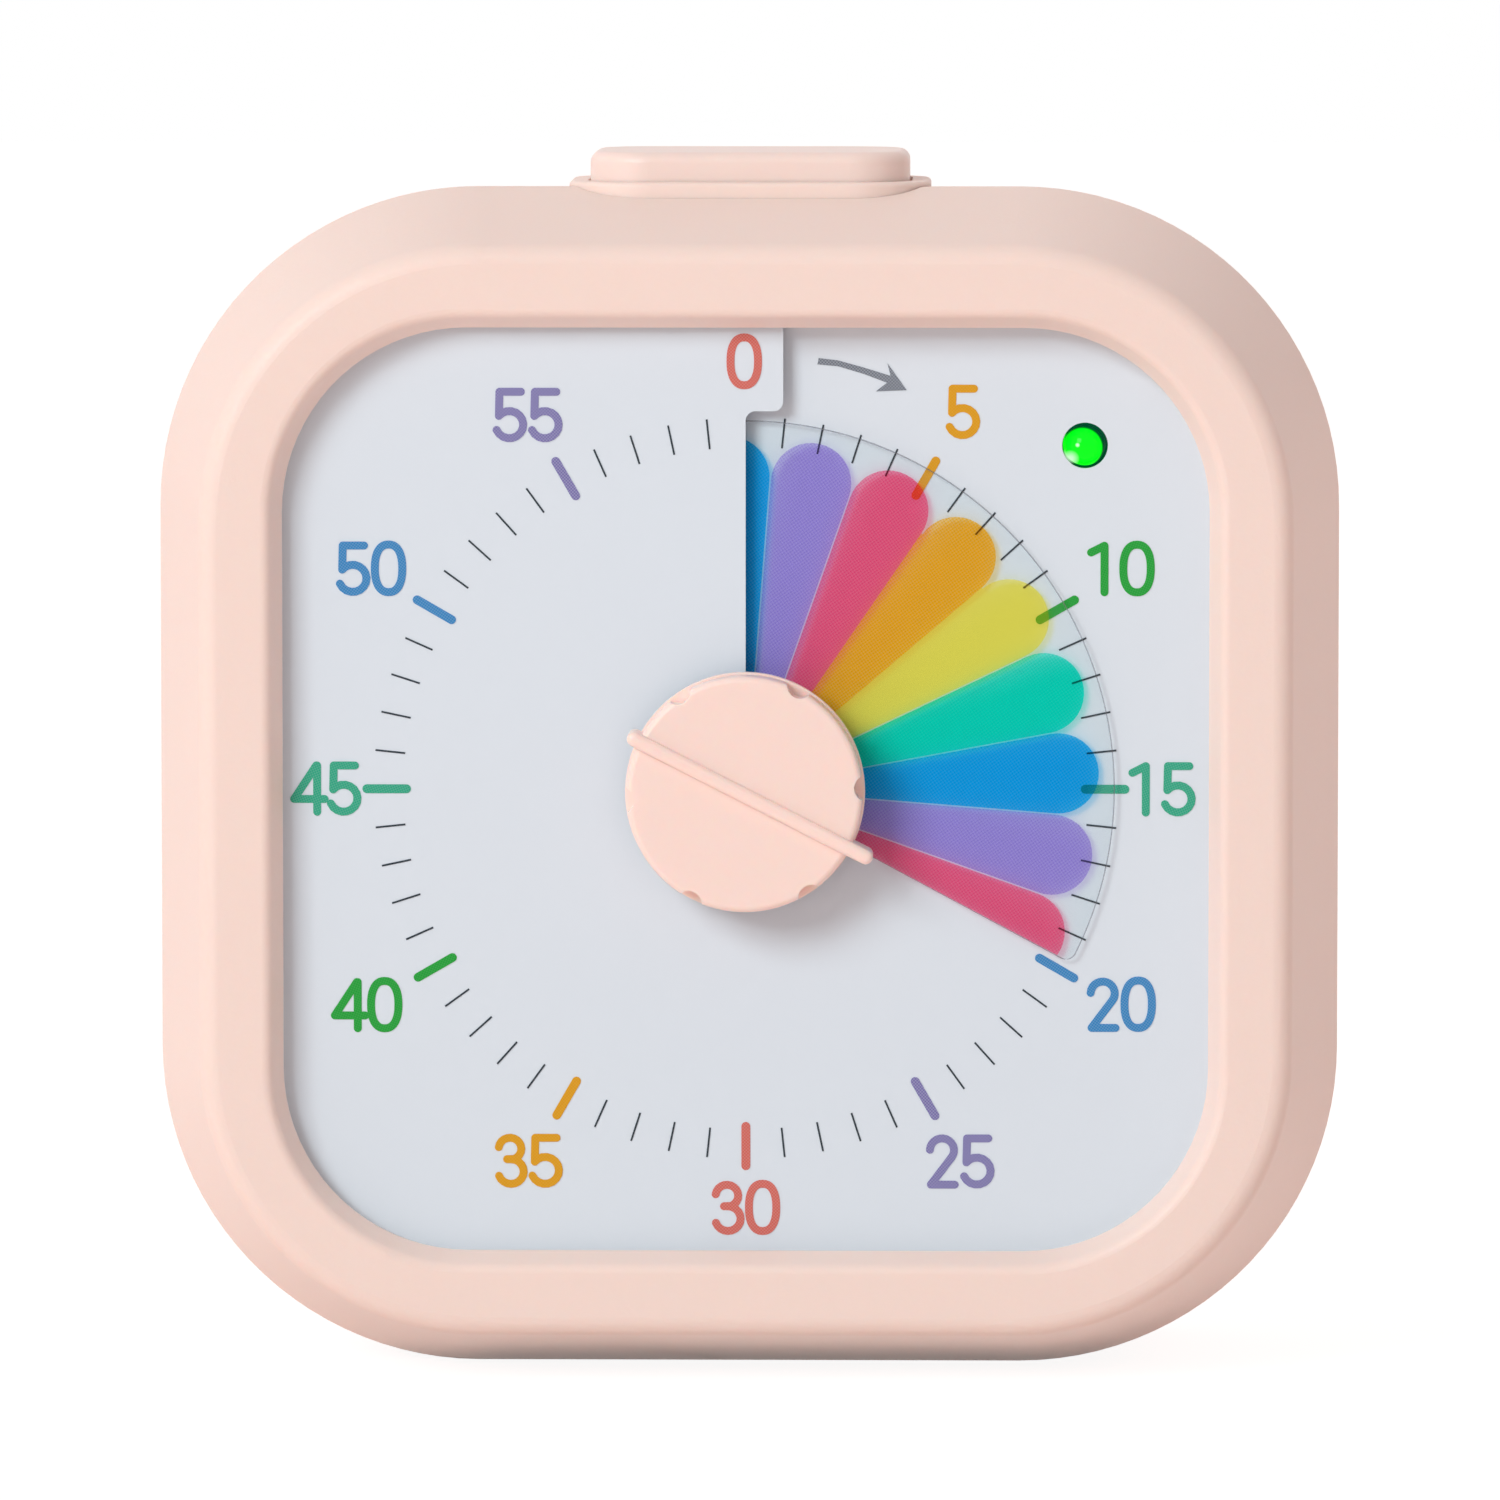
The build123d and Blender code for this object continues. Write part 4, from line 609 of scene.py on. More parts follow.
# %% Tree that prints a ring of ticks
def printed_ring_group():
    """Bars on the chosen minutes, joined with a flat drawing and laid on the screw."""
    tree, given, result = new_group("GeometryNodeTree", "printed_ring", [
        ("Geometry", GEOMETRY, None), ("First Angle", NUMBER, 0.0),
        ("Step Angle", NUMBER, 0.1), ("Count", "NodeSocketInt", 1),
        ("Leave Out Every", "NodeSocketInt", 100), ("Inner Radius", NUMBER, 0.02),
        ("Outer Radius", NUMBER, 0.03), ("Bar Width", NUMBER, 0.001), ("Round", NUMBER, 0.5),
        ("Ink Depth", NUMBER, 0.0001), ("Ink Height", NUMBER, 0.00005),
        ("Surface Y", NUMBER, 0.0), ("Rise", NUMBER, 0.001), ("Axis Height", NUMBER, 0.0),
        ("Start Angle", NUMBER, 0.0), ("Ink", MATERIAL, None),
    ], [("Geometry", GEOMETRY)])
    length = calc(tree, "SUBTRACT", given["Outer Radius"], given["Inner Radius"])
    middle = calc(tree, "MULTIPLY", 0.5,
                  calc(tree, "ADD", given["Outer Radius"], given["Inner Radius"]))
    outline = place(tree, "GeometryNodeCurvePrimitiveQuadrilateral", {
        "Width": given["Bar Width"], "Height": length})
    rounded = place(tree, "GeometryNodeFilletCurve", {
        "Curve": outline.outputs[0], "Count": 6, "Limit Radius": True,
        "Radius": calc(tree, "MULTIPLY", given["Bar Width"], given["Round"])}, mode="POLY")
    face = place(tree, "GeometryNodeFillCurve", {"Curve": rounded.outputs[0]}, mode="NGONS")
    raised = place(tree, "GeometryNodeExtrudeMesh", {
        "Mesh": face.outputs[0], "Offset": (0, 0, 1), "Offset Scale": given["Ink Depth"],
        "Individual": False})
    under = place(tree, "GeometryNodeFlipFaces", {"Mesh": face.outputs[0]})
    bar = place(tree, "GeometryNodeJoinGeometry")
    tree.links.new(under.outputs[0], bar.inputs[0])
    tree.links.new(raised.outputs[0], bar.inputs[0])
    closed = place(tree, "GeometryNodeMergeByDistance", {
        "Geometry": bar.outputs[0], "Distance": 1e-7})
    sunk = calc(tree, "SUBTRACT", given["Ink Depth"], given["Ink Height"])
    upright = place(tree, "GeometryNodeTransform", {
        "Geometry": closed.outputs[0], "Rotation": (pi / 2, 0, 0),
        "Translation": place(tree, "ShaderNodeCombineXYZ", {"Y": sunk, "Z": middle}).outputs[0]})

    line = place(tree, "GeometryNodeMeshLine", {"Count": given["Count"], "Offset": (0, 0, 0)})
    index = place(tree, "GeometryNodeInputIndex").outputs[0]
    left_over = calc(tree, "MODULO", calc(tree, "ADD", index, 1.0), given["Leave Out Every"])
    kept = place(tree, "FunctionNodeCompare", {0: left_over, 1: 0.5}, data_type="FLOAT",
                 operation="GREATER_THAN")
    angle = calc(tree, "ADD", given["First Angle"],
                 calc(tree, "MULTIPLY", index, given["Step Angle"]))
    ring = place(tree, "GeometryNodeInstanceOnPoints", {
        "Points": line.outputs[0], "Selection": kept.outputs[0],
        "Instance": upright.outputs[0],
        "Rotation": place(tree, "ShaderNodeCombineXYZ", {"Y": angle}).outputs[0]})
    real = place(tree, "GeometryNodeRealizeInstances", {"Geometry": ring.outputs[0]})
    drawing = place(tree, "GeometryNodeJoinGeometry")
    tree.links.new(real.outputs[0], drawing.inputs[0])
    tree.links.new(given["Geometry"], drawing.inputs[0])

    flat = split(tree, place(tree, "GeometryNodeInputPosition").outputs[0])
    clock = calc(tree, "ARCTAN2", flat["X"], flat["Z"])
    turn = calc(tree, "ADD", given["Start Angle"], calc(
        tree, "FLOORED_MODULO", calc(tree, "SUBTRACT", clock, given["Start Angle"]), one_turn))
    inked = place(tree, "GeometryNodeSetMaterial", {
        "Geometry": laid_on_screw(tree, given, drawing.outputs[0], turn), "Material": given["Ink"]})
    tree.links.new(inked.outputs[0], result["Geometry"])
    return tree


printed_ring = printed_ring_group()

# %% [markdown]
# ## Numbers
# The numbers are drawn with one round-ended stroke of constant width, like a rounded lettering
# pen. Each digit is a few straight runs and arcs along the middle of the stroke. A short function
# widens such a line into a ribbon, turns round the outside of every corner, and puts a half disc
# on each end; another gives the ribbon its thickness. That keeps the shapes crisp and light, and
# the whole lettering needs no font.

# %% Digits as pen strokes
pen_width = 0.57 * MM
digit_height = 3.36 * MM
ink_depth, ink_height = 0.07 * MM, 0.04 * MM
stroke_lift = 0.004 * MM  # strokes that cross stand at heights that differ by this
gap_after = {"1": 1.35, "4": 0.42}  # in millimetres; 0.60 after any other digit


def arc(centre_x, centre_z, radius_x, radius_z, start, end, steps=14):
    """Points of an arc, in millimetres; angles are in degrees, anticlockwise from +X."""
    points = []
    for step in range(steps + 1):
        angle = radians(start + (end - start) * step / steps)
        points.append((centre_x + radius_x * cos(angle), centre_z + radius_z * sin(angle)))
    return points


def oval(width, height, steps=40, squareness=2.35):
    """Closed rounded oval, a little squarer than an ellipse."""
    points = []
    for step in range(steps):
        angle = one_turn * step / steps
        share_x = abs(cos(angle)) ** (2 / squareness) * (1 if cos(angle) >= 0 else -1)
        share_z = abs(sin(angle)) ** (2 / squareness) * (1 if sin(angle) >= 0 else -1)
        points.append((width / 2 * (1 + share_x), height / 2 * (1 + share_z)))
    return points


# each digit: its width in millimetres and its strokes; a stroke is (points, closed)
digits = {
    "0": (1.98, [(oval(1.98, 3.44), True)]),
    "1": (0.97, [([(0, 2.87), (0.97, 3.36), (0.97, 0)], False)]),
    "2": (1.84, [(arc(0.87, 2.50, 0.87, 0.86, 178, -38) + [(0.07, 0), (1.80, 0)], False)]),
    "3": (1.82, [(arc(0.83, 2.56, 0.82, 0.80, 172, -68) + [(0.62, 1.80)], False),
                 ([(0.62, 1.80)] + arc(0.90, 0.90, 0.92, 0.90, 88, -160), False)]),
    "4": (2.20, [([(1.60, 3.36), (0.0, 0.93), (2.20, 0.93)], False),
                 ([(1.66, 3.36), (1.66, 0)], False)]),
    "5": (1.95, [([(1.78, 3.36), (0.24, 3.36), (0.20, 1.66)], False),
                 ([(0.20, 1.62)] + arc(0.95, 0.99, 1.00, 0.98, 122, -157), False)]),
}

sharp_from = radians(22)  # a bend sharper than this gets a round outside
shortest_mitre, degrees_per_step, cap_steps = 0.35, 15, 12


def ribbon(points, closed, width):
    """Widens a line into a flat strip of faces in the XZ plane, with round corners and ends."""
    count, half = len(points), width / 2
    rows = []  # pairs of (left point, right point)
    for index, point in enumerate(points):
        here = Vector(point)
        before = Vector(points[index - 1]) if closed or index else None
        after = Vector(points[(index + 1) % count]) if closed or index < count - 1 else None
        run_in = (here - before).normalized() if before is not None else None
        run_out = (after - here).normalized() if after is not None else None
        if run_in is None or run_out is None:
            run = run_out if run_in is None else run_in
            side = Vector((-run.y, run.x)) * half
            rows.append((here + side, here - side))
            continue
        side_in, side_out = Vector((-run_in.y, run_in.x)), Vector((-run_out.y, run_out.x))
        bisector = (side_in + side_out).normalized()
        mitre = half / max(bisector.dot(side_in), shortest_mitre)
        bend = run_in.x * run_out.y - run_in.y * run_out.x
        turn = abs(atan2(bend, run_in.dot(run_out)))
        if turn < sharp_from:
            rows.append((here + bisector * mitre, here - bisector * mitre))
            continue
        outside = -1 if bend > 0 else 1  # the outside of a left bend is on the right
        inner_point = here - bisector * mitre * outside
        steps = max(2, int(degrees(turn) / degrees_per_step))
        for step in range(steps + 1):
            spread = side_in.lerp(side_out, step / steps).normalized() * half * outside
            outer_point = here + spread
            rows.append((outer_point, inner_point) if outside > 0 else (inner_point, outer_point))
    pairs = zip(rows, rows[1:] + rows[:1] if closed else rows[1:])
    faces = [[left_a, left_b, right_b, right_a] for (left_a, right_a), (left_b, right_b) in pairs]
    if not closed:
        for index, (left, right) in ((0, rows[0]), (-1, rows[-1])):
            middle = (left + right) / 2
            spoke = (right if index == 0 else left) - middle
            faces.append([middle] + [
                middle + Matrix.Rotation(-pi * step / cap_steps, 2) @ spoke
                for step in range(cap_steps + 1)])
    return faces


def add_sheet(bm, faces, near, far):
    """Adds flat faces of the XZ plane as a closed sheet from y=near to y=far."""
    made, points = [], {}
    for face in faces:
        corners = []
        for corner in face:
            key = (round(corner[0], 8), round(corner[1], 8))
            if key not in points:
                points[key] = bm.verts.new((corner[0], near, corner[1]))
            if points[key] not in corners:
                corners.append(points[key])
        if len(corners) > 2:
            made.append(bm.faces.new(corners))
    bmesh.ops.recalc_face_normals(bm, faces=made)
    grown = bmesh.ops.extrude_face_region(bm, geom=made, use_keep_orig=True)
    for item in grown["geom"]:
        if isinstance(item, bmesh.types.BMVert):
            item.co.y = far


def draw_number(bm, text, centre_x, centre_z):
    """Draws a number with its middle at a place on the dial, in millimetres from the axis."""
    left, placed = 0.0, []
    for digit in text:
        placed.append((left, digit))
        whole = left + digits[digit][0]
        left += digits[digit][0] + gap_after.get(digit, 0.60)
    for left, digit in placed:
        for number, (points, closed) in enumerate(digits[digit][1]):
            moved = [((centre_x - whole / 2 + left + x) * MM,
                      (centre_z - digit_height / MM / 2 + z) * MM) for x, z in points]
            lift = stroke_lift * (number + len(text) * 0.5 * (left > 0))
            add_sheet(bm, ribbon(moved, closed, pen_width), -(ink_height + lift),
                      ink_depth - ink_height)


def finished_mesh(bm, name):
    """Turns a bmesh into a mesh with its normals outwards."""
    bmesh.ops.recalc_face_normals(bm, faces=bm.faces)
    mesh = bpy.data.meshes.new(name)
    bm.to_mesh(mesh)
    bm.free()
    return mesh


# %% Print the numbers and their ticks
big_tick = {"Inner Radius": 24.15 * MM, "Outer Radius": 27.65 * MM, "Bar Width": 0.64 * MM,
            "Round": 0.499}
small_tick = {"Inner Radius": 24.7 * MM, "Outer Radius": 26.85 * MM, "Bar Width": 0.13 * MM,
              "Round": 0.05}
on_dial = {"Ink Depth": ink_depth, "Ink Height": ink_height, "Surface Y": dial_y,
           "Rise": screw_rise, "Axis Height": axis_height, "Start Angle": radians(4.5)}
prints = [
    ("coral", 180, 1, (("0", -0.10, 30.85), ("30", 0.0, -30.4))),
    ("amber", 30, 2, (("5", 15.6, 27.2), ("35", -15.7, -27.0))),
    ("green", 60, 2, (("10", 27.0, 15.9), ("40", -27.4, -15.7))),
    ("teal", 90, 2, (("15", 30.0, 0.0), ("45", -30.3, 0.0))),
    ("blue", 120, 2, (("20", 27.1, -15.6), ("50", -27.0, 15.9))),
    ("violet", 150, 2, (("25", 15.5, -27.0), ("55", -15.7, 27.0))),
]
for colour, first, count, numbers in prints:
    bm = bmesh.new()
    for text, centre_x, centre_z in numbers:
        draw_number(bm, text, centre_x, centre_z)
    piece = run_tree(f"{colour}_print", printed_ring, finished_mesh(bm, f"{colour}_drawing"), {
        "First Angle": radians(first), "Step Angle": pi, "Count": count, "Ink": ink[colour],
        **big_tick, **on_dial})
    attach(piece, "case")
    print(piece.name, "has", len(piece.data.polygons), "faces")

# %% Print the small ticks and the arrow
arrow_edge = [  # up the top edge to the point and back along the lower edge, in mm from the axis
    (5.23, 31.07), (6.64, 30.90), (8.45, 30.40), (10.40, 29.80), (10.18, 30.70), (11.57, 28.77),
    (9.35, 28.68), (10.15, 29.30), (8.45, 29.94), (6.64, 30.48), (5.14, 30.62)]
bm = bmesh.new()
add_sheet(bm, [[(x * MM, z * MM) for x, z in arrow_edge]], -ink_height, ink_depth - ink_height)
arrow = run_tree("arrow_print", printed_ring, finished_mesh(bm, "arrow_drawing"), {
    "Count": 0, "Ink": ink["grey"], **big_tick, **on_dial})
ticks = run_tree("minute_print", printed_ring, bpy.data.meshes.new("no_drawing"), {
    "First Angle": radians(6), "Step Angle": radians(6), "Count": 59, "Leave Out Every": 5,
    "Ink": ink["slate"], **small_tick, **on_dial})
for piece in (arrow, ticks):
    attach(piece, "case")
print("small ticks:", len(ticks.data.polygons), "faces")


# %% [markdown]
# ## The printed film
# The film is a clear round sheet with 24 petals printed on it, six colours four times over. Every
# petal follows one rule: two straight sides that nearly meet the next petal's, and a round tip that
# both sides run into. So the film is drawn as a fan of faces whose edges are exactly the edges of
# the petals, which keeps the colours sharp, and each petal carries its own lengthwise and crosswise
# coordinates for the shading of its print. It has its ends where the engineering model has them:
# one rounded corner at the rim of each.

# %% Film drawing
petal_count, petal_colours = 24, 6
petal_half = pi / petal_count
first_petal = radians(-3.0)  # middle of the petal at the cut
tip_centre = 22.58 * MM
petal_gap = 0.10 * MM
tip_radius = tip_centre * sin(petal_half) - petal_gap / 2
side_end = tip_centre * cos(petal_half)
# The rim and both cut ends of the film carry a thin grey strip: painted shade for the dark line of
# the cut edge.
rim_shade_width = 0.09 * MM
end_shade_angle = radians(0.25)  # the cut edge at each end of the film shows as a thin line
across_steps, along_steps, margin_steps, corner_steps = 20, 12, 4, 10
CLEAR, EDGE_SHADE = 6, 7
blends_into_next = (2, 3)  # crimson runs into orange, and orange into yellow, with no clear line
petal_rows = along_steps + 3  # rows of faces from the hub to the petal's tip
film_tail = film_nose - one_turn


def clear_of_corners(turn):
    """Radius of the film's rim, which is rounded off at both ends."""
    arc_left = film_outer * min(film_nose - turn, turn - film_tail)
    short = max(film_corner - arc_left, 0.0)
    return film_outer - film_corner + sqrt(max(film_corner ** 2 - short ** 2, 0.0))


def petal_side(radius):
    """Half the angle that a petal spans at a radius."""
    return petal_half - asin(min(1.0, petal_gap / 2 / radius))


def tip_reach(offset):
    """Radius of a petal's tip at an angle from its middle."""
    inside = tip_radius ** 2 - (tip_centre * sin(offset)) ** 2
    return tip_centre * cos(offset) + sqrt(max(inside, 0.0))


def film_columns():
    """Columns of the drawing from tail to nose: (petal number, share across it from -1 to 1)."""
    columns = []
    step = one_turn / petal_count
    corner_turn = film_corner / film_outer
    insets = [end_shade_angle] + [
        corner_turn * (index / corner_steps) ** 2 for index in range(1, corner_steps + 1)]
    ends = [film_nose - inset for inset in insets] + [film_tail + inset for inset in insets]
    first = int((film_tail - first_petal) // step) - 1
    for number in range(first, first + petal_count + 4):
        middle = first_petal + number * step
        shares = [sin(pi / 2 * (2 * index / across_steps - 1)) for index in range(across_steps + 1)]
        shares += [(turn - middle) / petal_half for turn in ends
                   if abs(turn - middle) < petal_half]
        columns += [(number, middle, share) for share in sorted(shares)]
    return columns


def column_points(middle, share):
    """Radii and angles down one column: petal, then margin, then rim."""
    radii = [film_inner + (side_end - film_inner) * index / along_steps
             for index in range(along_steps + 1)]
    rows = [(radius, middle + share * petal_side(radius)) for radius in radii]
    offset = share * petal_side(side_end)
    tip = max(tip_reach(offset), side_end)
    line = film_outer - rim_shade_width
    for start, end, steps in ((side_end, tip, 3), (tip, line, margin_steps)):
        rows += [(start + (end - start) * index / steps, middle + offset)
                 for index in range(1, steps + 1)]
    return rows + [(film_outer, middle + offset)]


bm = bmesh.new()
turn_layer = bm.verts.layers.float.new("turn")
colour_layer = bm.faces.layers.int.new("print_colour")
uv_layer = bm.loops.layers.uv.new("petal")
vertex_at = {}


def film_vertex(radius, turn, back):
    """The vertex at a place on the film's front or back, made once."""
    held = min(max(turn, film_tail), film_nose)
    in_from_rim = film_outer - radius if radius > film_outer - 2 * rim_shade_width else 0.0
    radius = min(radius, clear_of_corners(held) - in_from_rim)
    key = (round(radius, 9), round(held, 9), back)
    if key not in vertex_at:
        y = film_thickness if back else 0.0
        vertex = bm.verts.new((radius * sin(held), y, radius * cos(held)))
        vertex[turn_layer] = held
        vertex_at[key] = vertex
    return vertex_at[key]


columns = film_columns()
faces_made = 0
for (number, middle, share), (next_number, next_middle, next_share) in zip(columns, columns[1:]):
    near_rows = column_points(middle, share)
    far_rows = column_points(next_middle, next_share)
    in_petal = number == next_number
    for row in range(len(near_rows) - 1):
        corners = [near_rows[row], near_rows[row + 1], far_rows[row + 1], far_rows[row]]
        turns = [turn for _, turn in corners]
        if max(turns) <= film_tail or min(turns) >= film_nose:
            continue
        # the grey strip along the rim and the cut ends is painted shade of the film's edge
        if (row == len(near_rows) - 2 or max(turns) <= film_tail + end_shade_angle * 1.01
                or min(turns) >= film_nose - end_shade_angle * 1.01):
            tint = EDGE_SHADE
        elif in_petal and row < petal_rows:
            tint = number % petal_colours
        elif row < along_steps and number % petal_colours in blends_into_next:
            tint = (number + 1) % petal_colours
        else:
            tint = CLEAR
        for back in (False, True):
            ring, uvs = [], []
            for corner, (radius, turn) in enumerate(corners):
                vertex = film_vertex(radius, turn, back)
                if vertex in ring:
                    continue
                ring.append(vertex)
                side_share = share if corner in (0, 1) or not in_petal else next_share
                uvs.append(((side_share + 1) / 2, radius / film_outer))
            if len(ring) < 3:
                continue
            if back:
                ring.reverse()
                uvs.reverse()
            try:
                face = bm.faces.new(ring)
            except ValueError:
                continue
            face[colour_layer] = CLEAR if back else tint
            for loop, uv in zip(face.loops, uvs):
                loop[uv_layer].uv = uv
            faces_made += 1
# join front and back along the open edges
open_edges = [edge for edge in bm.edges if len(edge.link_faces) == 1]
behind_it = {vertex: vertex_at[radius, turn, True]
             for (radius, turn, back), vertex in vertex_at.items() if not back}
for edge in open_edges:
    start, end = edge.verts
    if start in behind_it and end in behind_it:
        wall = bm.faces.new((start, end, behind_it[end], behind_it[start]))
        wall[colour_layer] = EDGE_SHADE
still_open = sum(1 for edge in bm.edges if len(edge.link_faces) != 2)
film_drawing = finished_mesh(bm, "film_drawing")
print("film faces:", faces_made, "edges left open:", still_open)

# %% [markdown]
# ## Film finish
# Light goes through the film, takes its colour, is thrown back by the dial and goes through the
# film again. So a petal is mostly a coloured Transparent shader, which multiplies whatever lies
# behind it: the amber tick under the crimson petal turns red, and the shadow on the dial is
# coloured too. A smaller share of the ink is opaque and glossy, which gives the print its body.
# The print fades a little towards one side of each petal, and carries the same dots as the dial.

# %% Film finishes
def see_through(tree, through, share, gloss):
    """Ends a finish that lets light pass, but for a share of it that has a body and a gloss."""
    clear = place(tree, "ShaderNodeBsdfTransparent", {"Color": through})
    body = place(tree, "ShaderNodeBsdfPrincipled", gloss)
    close_finish(tree, place(tree, "ShaderNodeMixShader", {
        0: share, 1: clear.outputs[0], 2: body.outputs[0]}))


def petal(name, seen_colour, dot_depth, fade):
    """Translucent print, from the colour it shows on the dial: the light passes it twice."""
    material, tree = blank_finish(name)
    colour = srgb(*seen_colour)
    through = (*[min(1.0, sqrt(part / sheet_part))
                 for part, sheet_part in zip(colour[:3], seen_sheet)], 1.0)
    spot = split(tree, place(tree, "ShaderNodeUVMap", {}, uv_map="petal").outputs[0])
    to_side = rescale(tree, spot["X"], 0.0, 0.42, fade, 0.0, style="SMOOTHSTEP")
    to_tip = rescale(tree, spot["Y"], 0.50, 0.93, 0.25, 1.0, style="SMOOTHSTEP")
    thin = calc(tree, "MULTIPLY", to_side, to_tip)
    between = calc(tree, "SUBTRACT", 1.0, dot_rows(tree, 0.20 * MM, 0.6, 0.40))
    pale = calc(tree, "MULTIPLY_ADD", thin, calc(tree, "MULTIPLY_ADD", between, 0.9, 0.35),
                calc(tree, "MULTIPLY", between, dot_depth))
    thinned = tuple(1 - (1 - part) * thinnest_print for part in through)
    see_through(tree, blend(tree, pale, through, thinned), petal_share, {
        "Base Color": colour, "Roughness": 0.34, "Specular IOR Level": 0.2})
    return material


def clear_sheet(name, through, share, roughness):
    """Bare film, or the grey strip at its edges: painted shade of the cut edge."""
    material, tree = blank_finish(name)
    haze = noise(tree, own_spot(tree), 220.0, 3.0)
    see_through(tree, through, share, {
        "Base Color": (0.80, 0.83, 0.86, 1), "IOR": 1.5,
        "Roughness": calc(tree, "MULTIPLY_ADD", haze, 0.15, roughness)})
    return material


petal_share = 0.12  # of the print is opaque
thinnest_print = 0.35  # of its colour is left where the print is thinnest
film_finishes = [  # in the order of the print's colour numbers
    petal("blue_petal", (0, 146, 222), 0.32, 0.08),
    petal("purple_petal", (132, 112, 208), 0.66, 0.12),
    petal("crimson_petal", (248, 60, 108), 0.50, 0.12),
    petal("orange_petal", (255, 150, 0), 0.60, 0.16),
    petal("yellow_petal", (240, 213, 84), 0.02, 0.12),
    petal("teal_petal", (0, 204, 178), 0.16, 0.40),
    clear_sheet("clear_film", (0.966, 0.982, 0.984, 1), 0.01, 0.15),
    clear_sheet("film_edge_painted_shade", (0.46, 0.48, 0.52, 1), 0.12, 0.2),
]

# %% Tree that makes the film
film_tree, given, result = new_group("GeometryNodeTree", "printed_film", [
    ("Geometry", GEOMETRY, None), ("Surface Y", NUMBER, 0.0),
    ("Rise", NUMBER, 0.001), ("Axis Height", NUMBER, 0.0),
] + [(f"Print {number}", MATERIAL, None) for number in range(len(film_finishes))],
    [("Geometry", GEOMETRY)])
turn = place(film_tree, "GeometryNodeInputNamedAttribute", {"Name": "turn"}, data_type="FLOAT")
flow = laid_on_screw(film_tree, given, given["Geometry"], turn.outputs[0])
printed = place(film_tree, "GeometryNodeInputNamedAttribute", {"Name": "print_colour"},
                data_type="INT")
number_out = next(out for out in printed.outputs if out.enabled and out.type == "INT")
for number in range(len(film_finishes)):
    chosen = place(film_tree, "FunctionNodeCompare", {}, data_type="INT", operation="EQUAL")
    whole = [socket for socket in chosen.inputs if socket.type == "INT"]
    film_tree.links.new(number_out, whole[0])
    whole[1].default_value = number
    flow = place(film_tree, "GeometryNodeSetMaterial", {
        "Geometry": flow, "Selection": chosen.outputs[0],
        "Material": given[f"Print {number}"]}).outputs[0]
film_tree.links.new(flow, result["Geometry"])

film = run_tree("printed_film", film_tree, film_drawing, {
    "Surface Y": film_y, "Rise": screw_rise, "Axis Height": axis_height,
    **{f"Print {number}": finish for number, finish in enumerate(film_finishes)}})
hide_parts("colour_film")
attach(film, "film")
print("film materials:", [slot.material.name for slot in film.material_slots if slot.material])

# %% [markdown]
# ## The lip round the window
# Behind its bevel the housing has a thin lip that reaches down to the dial, hides the dial's edge
# and keeps dust out. Its outline is the window's rounded square, walked once round from the cut at
# 0. Its foot follows the screw of the dial, so each pair of points stands at its own depth.

# %% Window lip
window_half, window_corner = 33.35 * MM, 13.3 * MM
lip_width = 0.3 * MM
lip_tuck = 0.33 * MM  # the lip stands this far outside the window's wall, in its shade
lip_root = face_y + 2.2 * MM  # buried in the housing's front wall
lip_gap = 0.03 * MM  # between the lip's foot and the dial
raised_edge_x = 2.7 * MM  # the dial's raised edge stops here, above the film
bend_steps, side_steps = 16, 8


def window_outline(out):
    """The window's outline moved outwards, clockwise from the dial's raised edge at the top."""
    side, reach, radius = window_half - window_corner, window_half + out, window_corner + out
    bends = [step / bend_steps * pi / 2 for step in range(bend_steps + 1)]
    quarter = [(side + radius * sin(bend), side + radius * cos(bend)) for bend in bends]
    quarter += [(reach, side * (1 - 2 * step / side_steps)) for step in range(1, side_steps)]
    walk = []
    for _ in range(4):
        walk += quarter
        quarter = [(z, -x) for x, z in quarter]
    walk = walk[:1 - side_steps] + [spot for spot in walk[1 - side_steps:]
                                    if spot[0] < raised_edge_x]
    return [(raised_edge_x + 0.04 * MM, reach), *walk, (raised_edge_x + 0.03 * MM, reach)]


def lip_foot(x, z, last):
    """Depth of the lip's foot: just clear of the dial's face at that angle."""
    turned = atan2(x, z) % one_turn + (one_turn if last else 0.0)
    return dial_y - screw_rise * turned / one_turn - lip_gap


bm = bmesh.new()
columns = []
inner_walk, outer_walk = window_outline(lip_tuck), window_outline(lip_tuck + lip_width)
for index, (inner, outer) in enumerate(zip(inner_walk, outer_walk)):
    foot = lip_foot(*inner, index > len(inner_walk) // 2 and inner[0] > 0)
    columns.append([bm.verts.new((x, y, axis_height + z)) for (x, z), y in (
        (inner, lip_root), (inner, foot), (outer, foot), (outer, lip_root))])
for here, there in zip(columns, columns[1:] + columns[:1]):
    for first in range(4):
        second = (first + 1) % 4
        bm.faces.new((here[first], there[first], there[second], here[second])).smooth = True
lip = add_object("window_lip", finished_mesh(bm, "window_lip"))
lip.data.set_sharp_from_angle(angle=radians(50))
lip.data.materials.append(housing_plastic)
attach(lip, "case")
print("window lip:", len(lip.data.polygons), "faces, foot from",
      round((lip_foot(*inner_walk[0], False) - face_y) / MM, 2), "to",
      round((lip_foot(*inner_walk[-1], True) - face_y) / MM, 2), "mm behind the face")
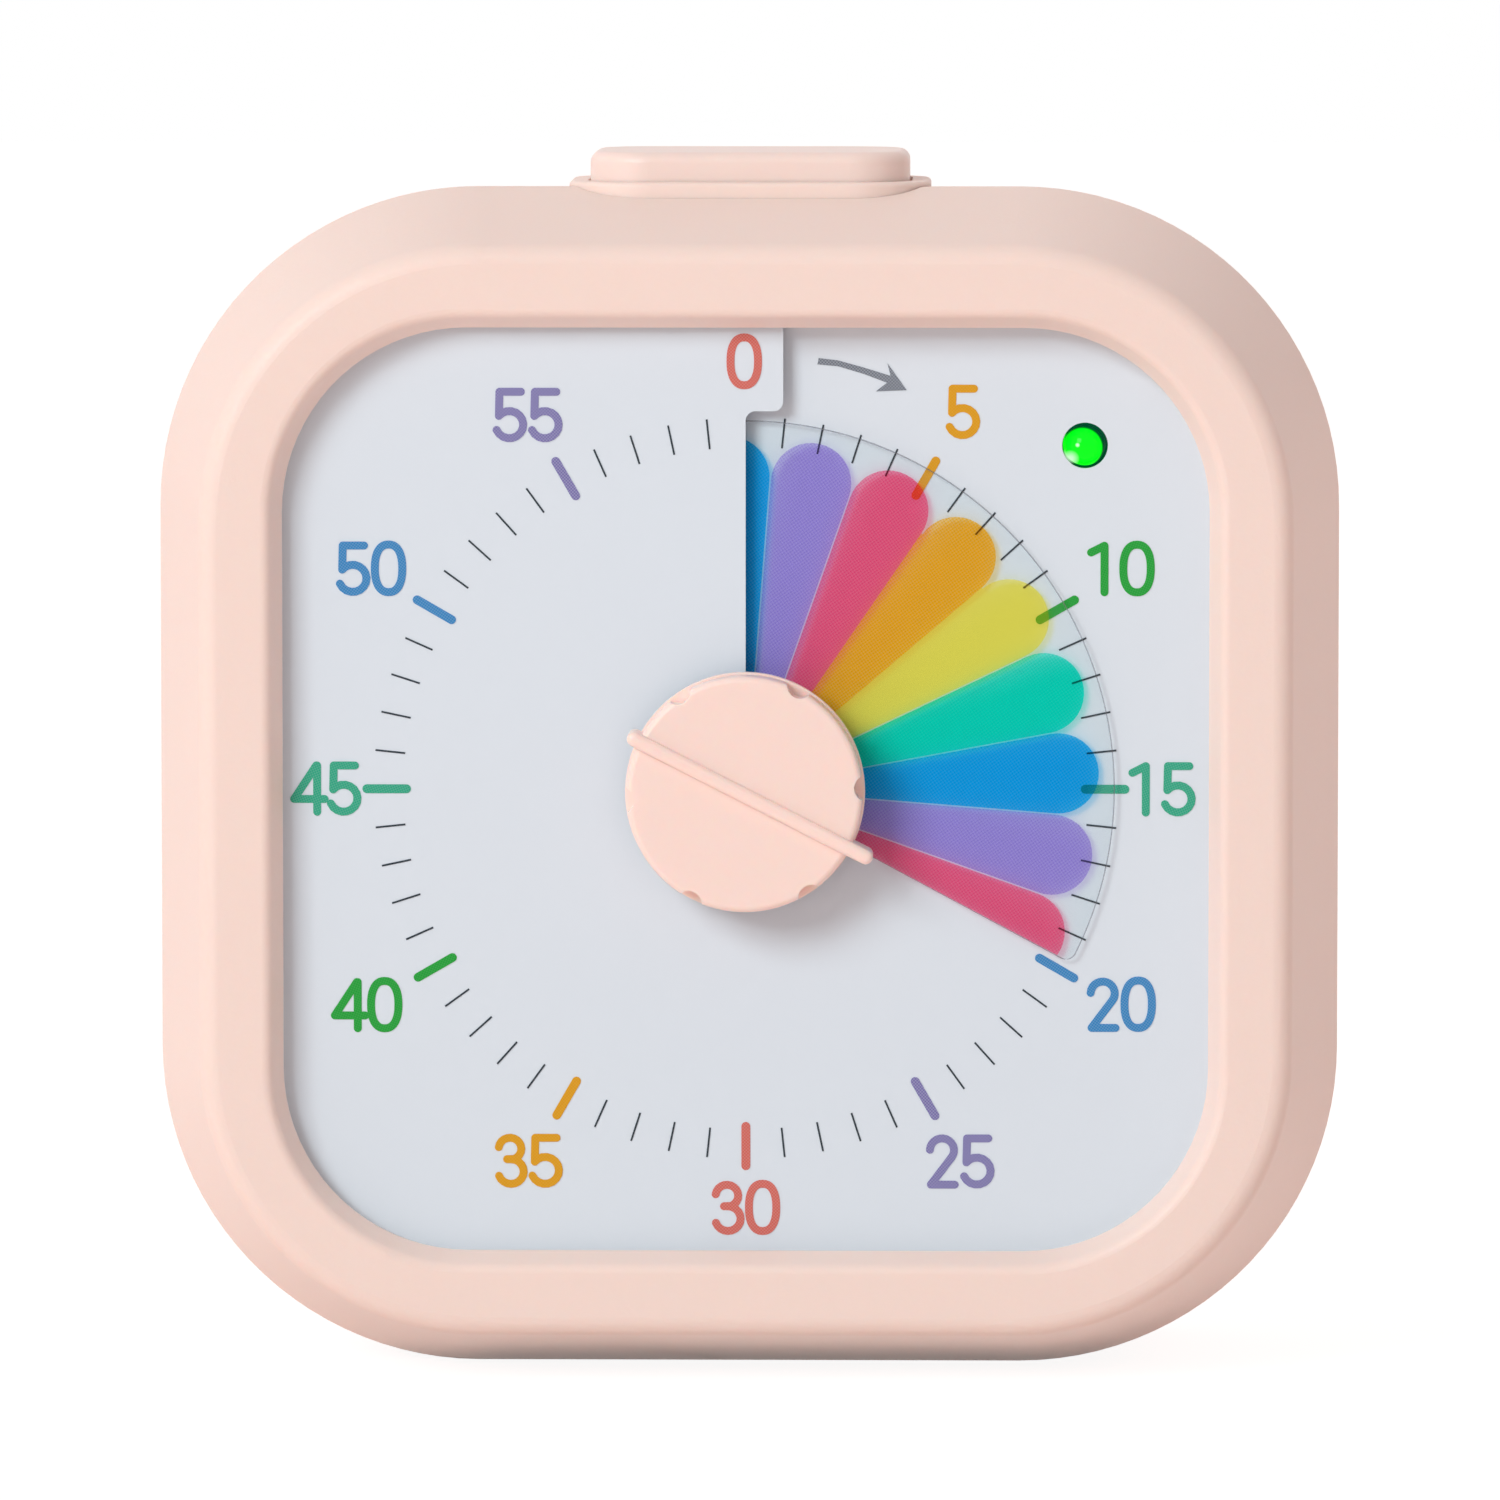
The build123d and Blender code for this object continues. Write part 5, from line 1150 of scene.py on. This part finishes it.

# %% [markdown]
# ## The button's return spring
# Under the top button a coil of steel wire pushes it back up. This one piece is wound again here,
# to the size of the engineering model's spring: a spiral curve gives the path and a small circle is
# drawn along it.

# %% Wind the return spring
spring_low, spring_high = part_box("button_spring")
spring_middle, spring_length = (spring_low + spring_high) / 2, spring_high.z - spring_low.z
wire_radius = 0.3 * MM
coil_radius = (spring_high.x - spring_low.x) / 2 - wire_radius
coil_tree, given, result = new_group("GeometryNodeTree", "wound_spring", [
    ("Geometry", GEOMETRY, None), ("Turns", NUMBER, 4.0),
    ("Coil Radius", NUMBER, 0.005), ("Wire Radius", NUMBER, 0.0003), ("Rise", NUMBER, 0.004),
    ("Foot", VECTOR, None), ("Wire", MATERIAL, None),
], [("Geometry", GEOMETRY)])
path = place(coil_tree, "GeometryNodeCurveSpiral", {
    "Resolution": 32, "Rotations": given["Turns"], "Start Radius": given["Coil Radius"],
    "End Radius": given["Coil Radius"], "Height": given["Rise"], "Reverse": True})
section = place(coil_tree, "GeometryNodeCurvePrimitiveCircle", {
    "Resolution": 8, "Radius": given["Wire Radius"]})
wound = place(coil_tree, "GeometryNodeCurveToMesh", {
    "Curve": path.outputs[0], "Profile Curve": section.outputs[0], "Fill Caps": True})
stood = place(coil_tree, "GeometryNodeTransform", {
    "Geometry": wound.outputs[0], "Translation": given["Foot"]})
whole = place(coil_tree, "GeometryNodeRealizeInstances", {"Geometry": stood.outputs[0]})
finished = place(coil_tree, "GeometryNodeSetMaterial", {
    "Geometry": whole.outputs[0], "Material": given["Wire"]})
coil_tree.links.new(finished.outputs[0], result["Geometry"])

spring = run_tree("return_spring", coil_tree, bpy.data.meshes.new("empty_sheet"), {
    "Turns": 4.0, "Coil Radius": coil_radius, "Wire Radius": wire_radius,
    "Rise": spring_length - 2 * wire_radius,
    "Foot": (spring_middle.x, spring_middle.y, spring_low.z + wire_radius), "Wire": bright_steel})
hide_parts("button_spring")
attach(spring, "case")
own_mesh(spring)
print("return spring:", len(spring.data.polygons), "faces, coil radius",
      round(coil_radius / MM, 2), "mm, length", round(spring_length / MM, 2), "mm")
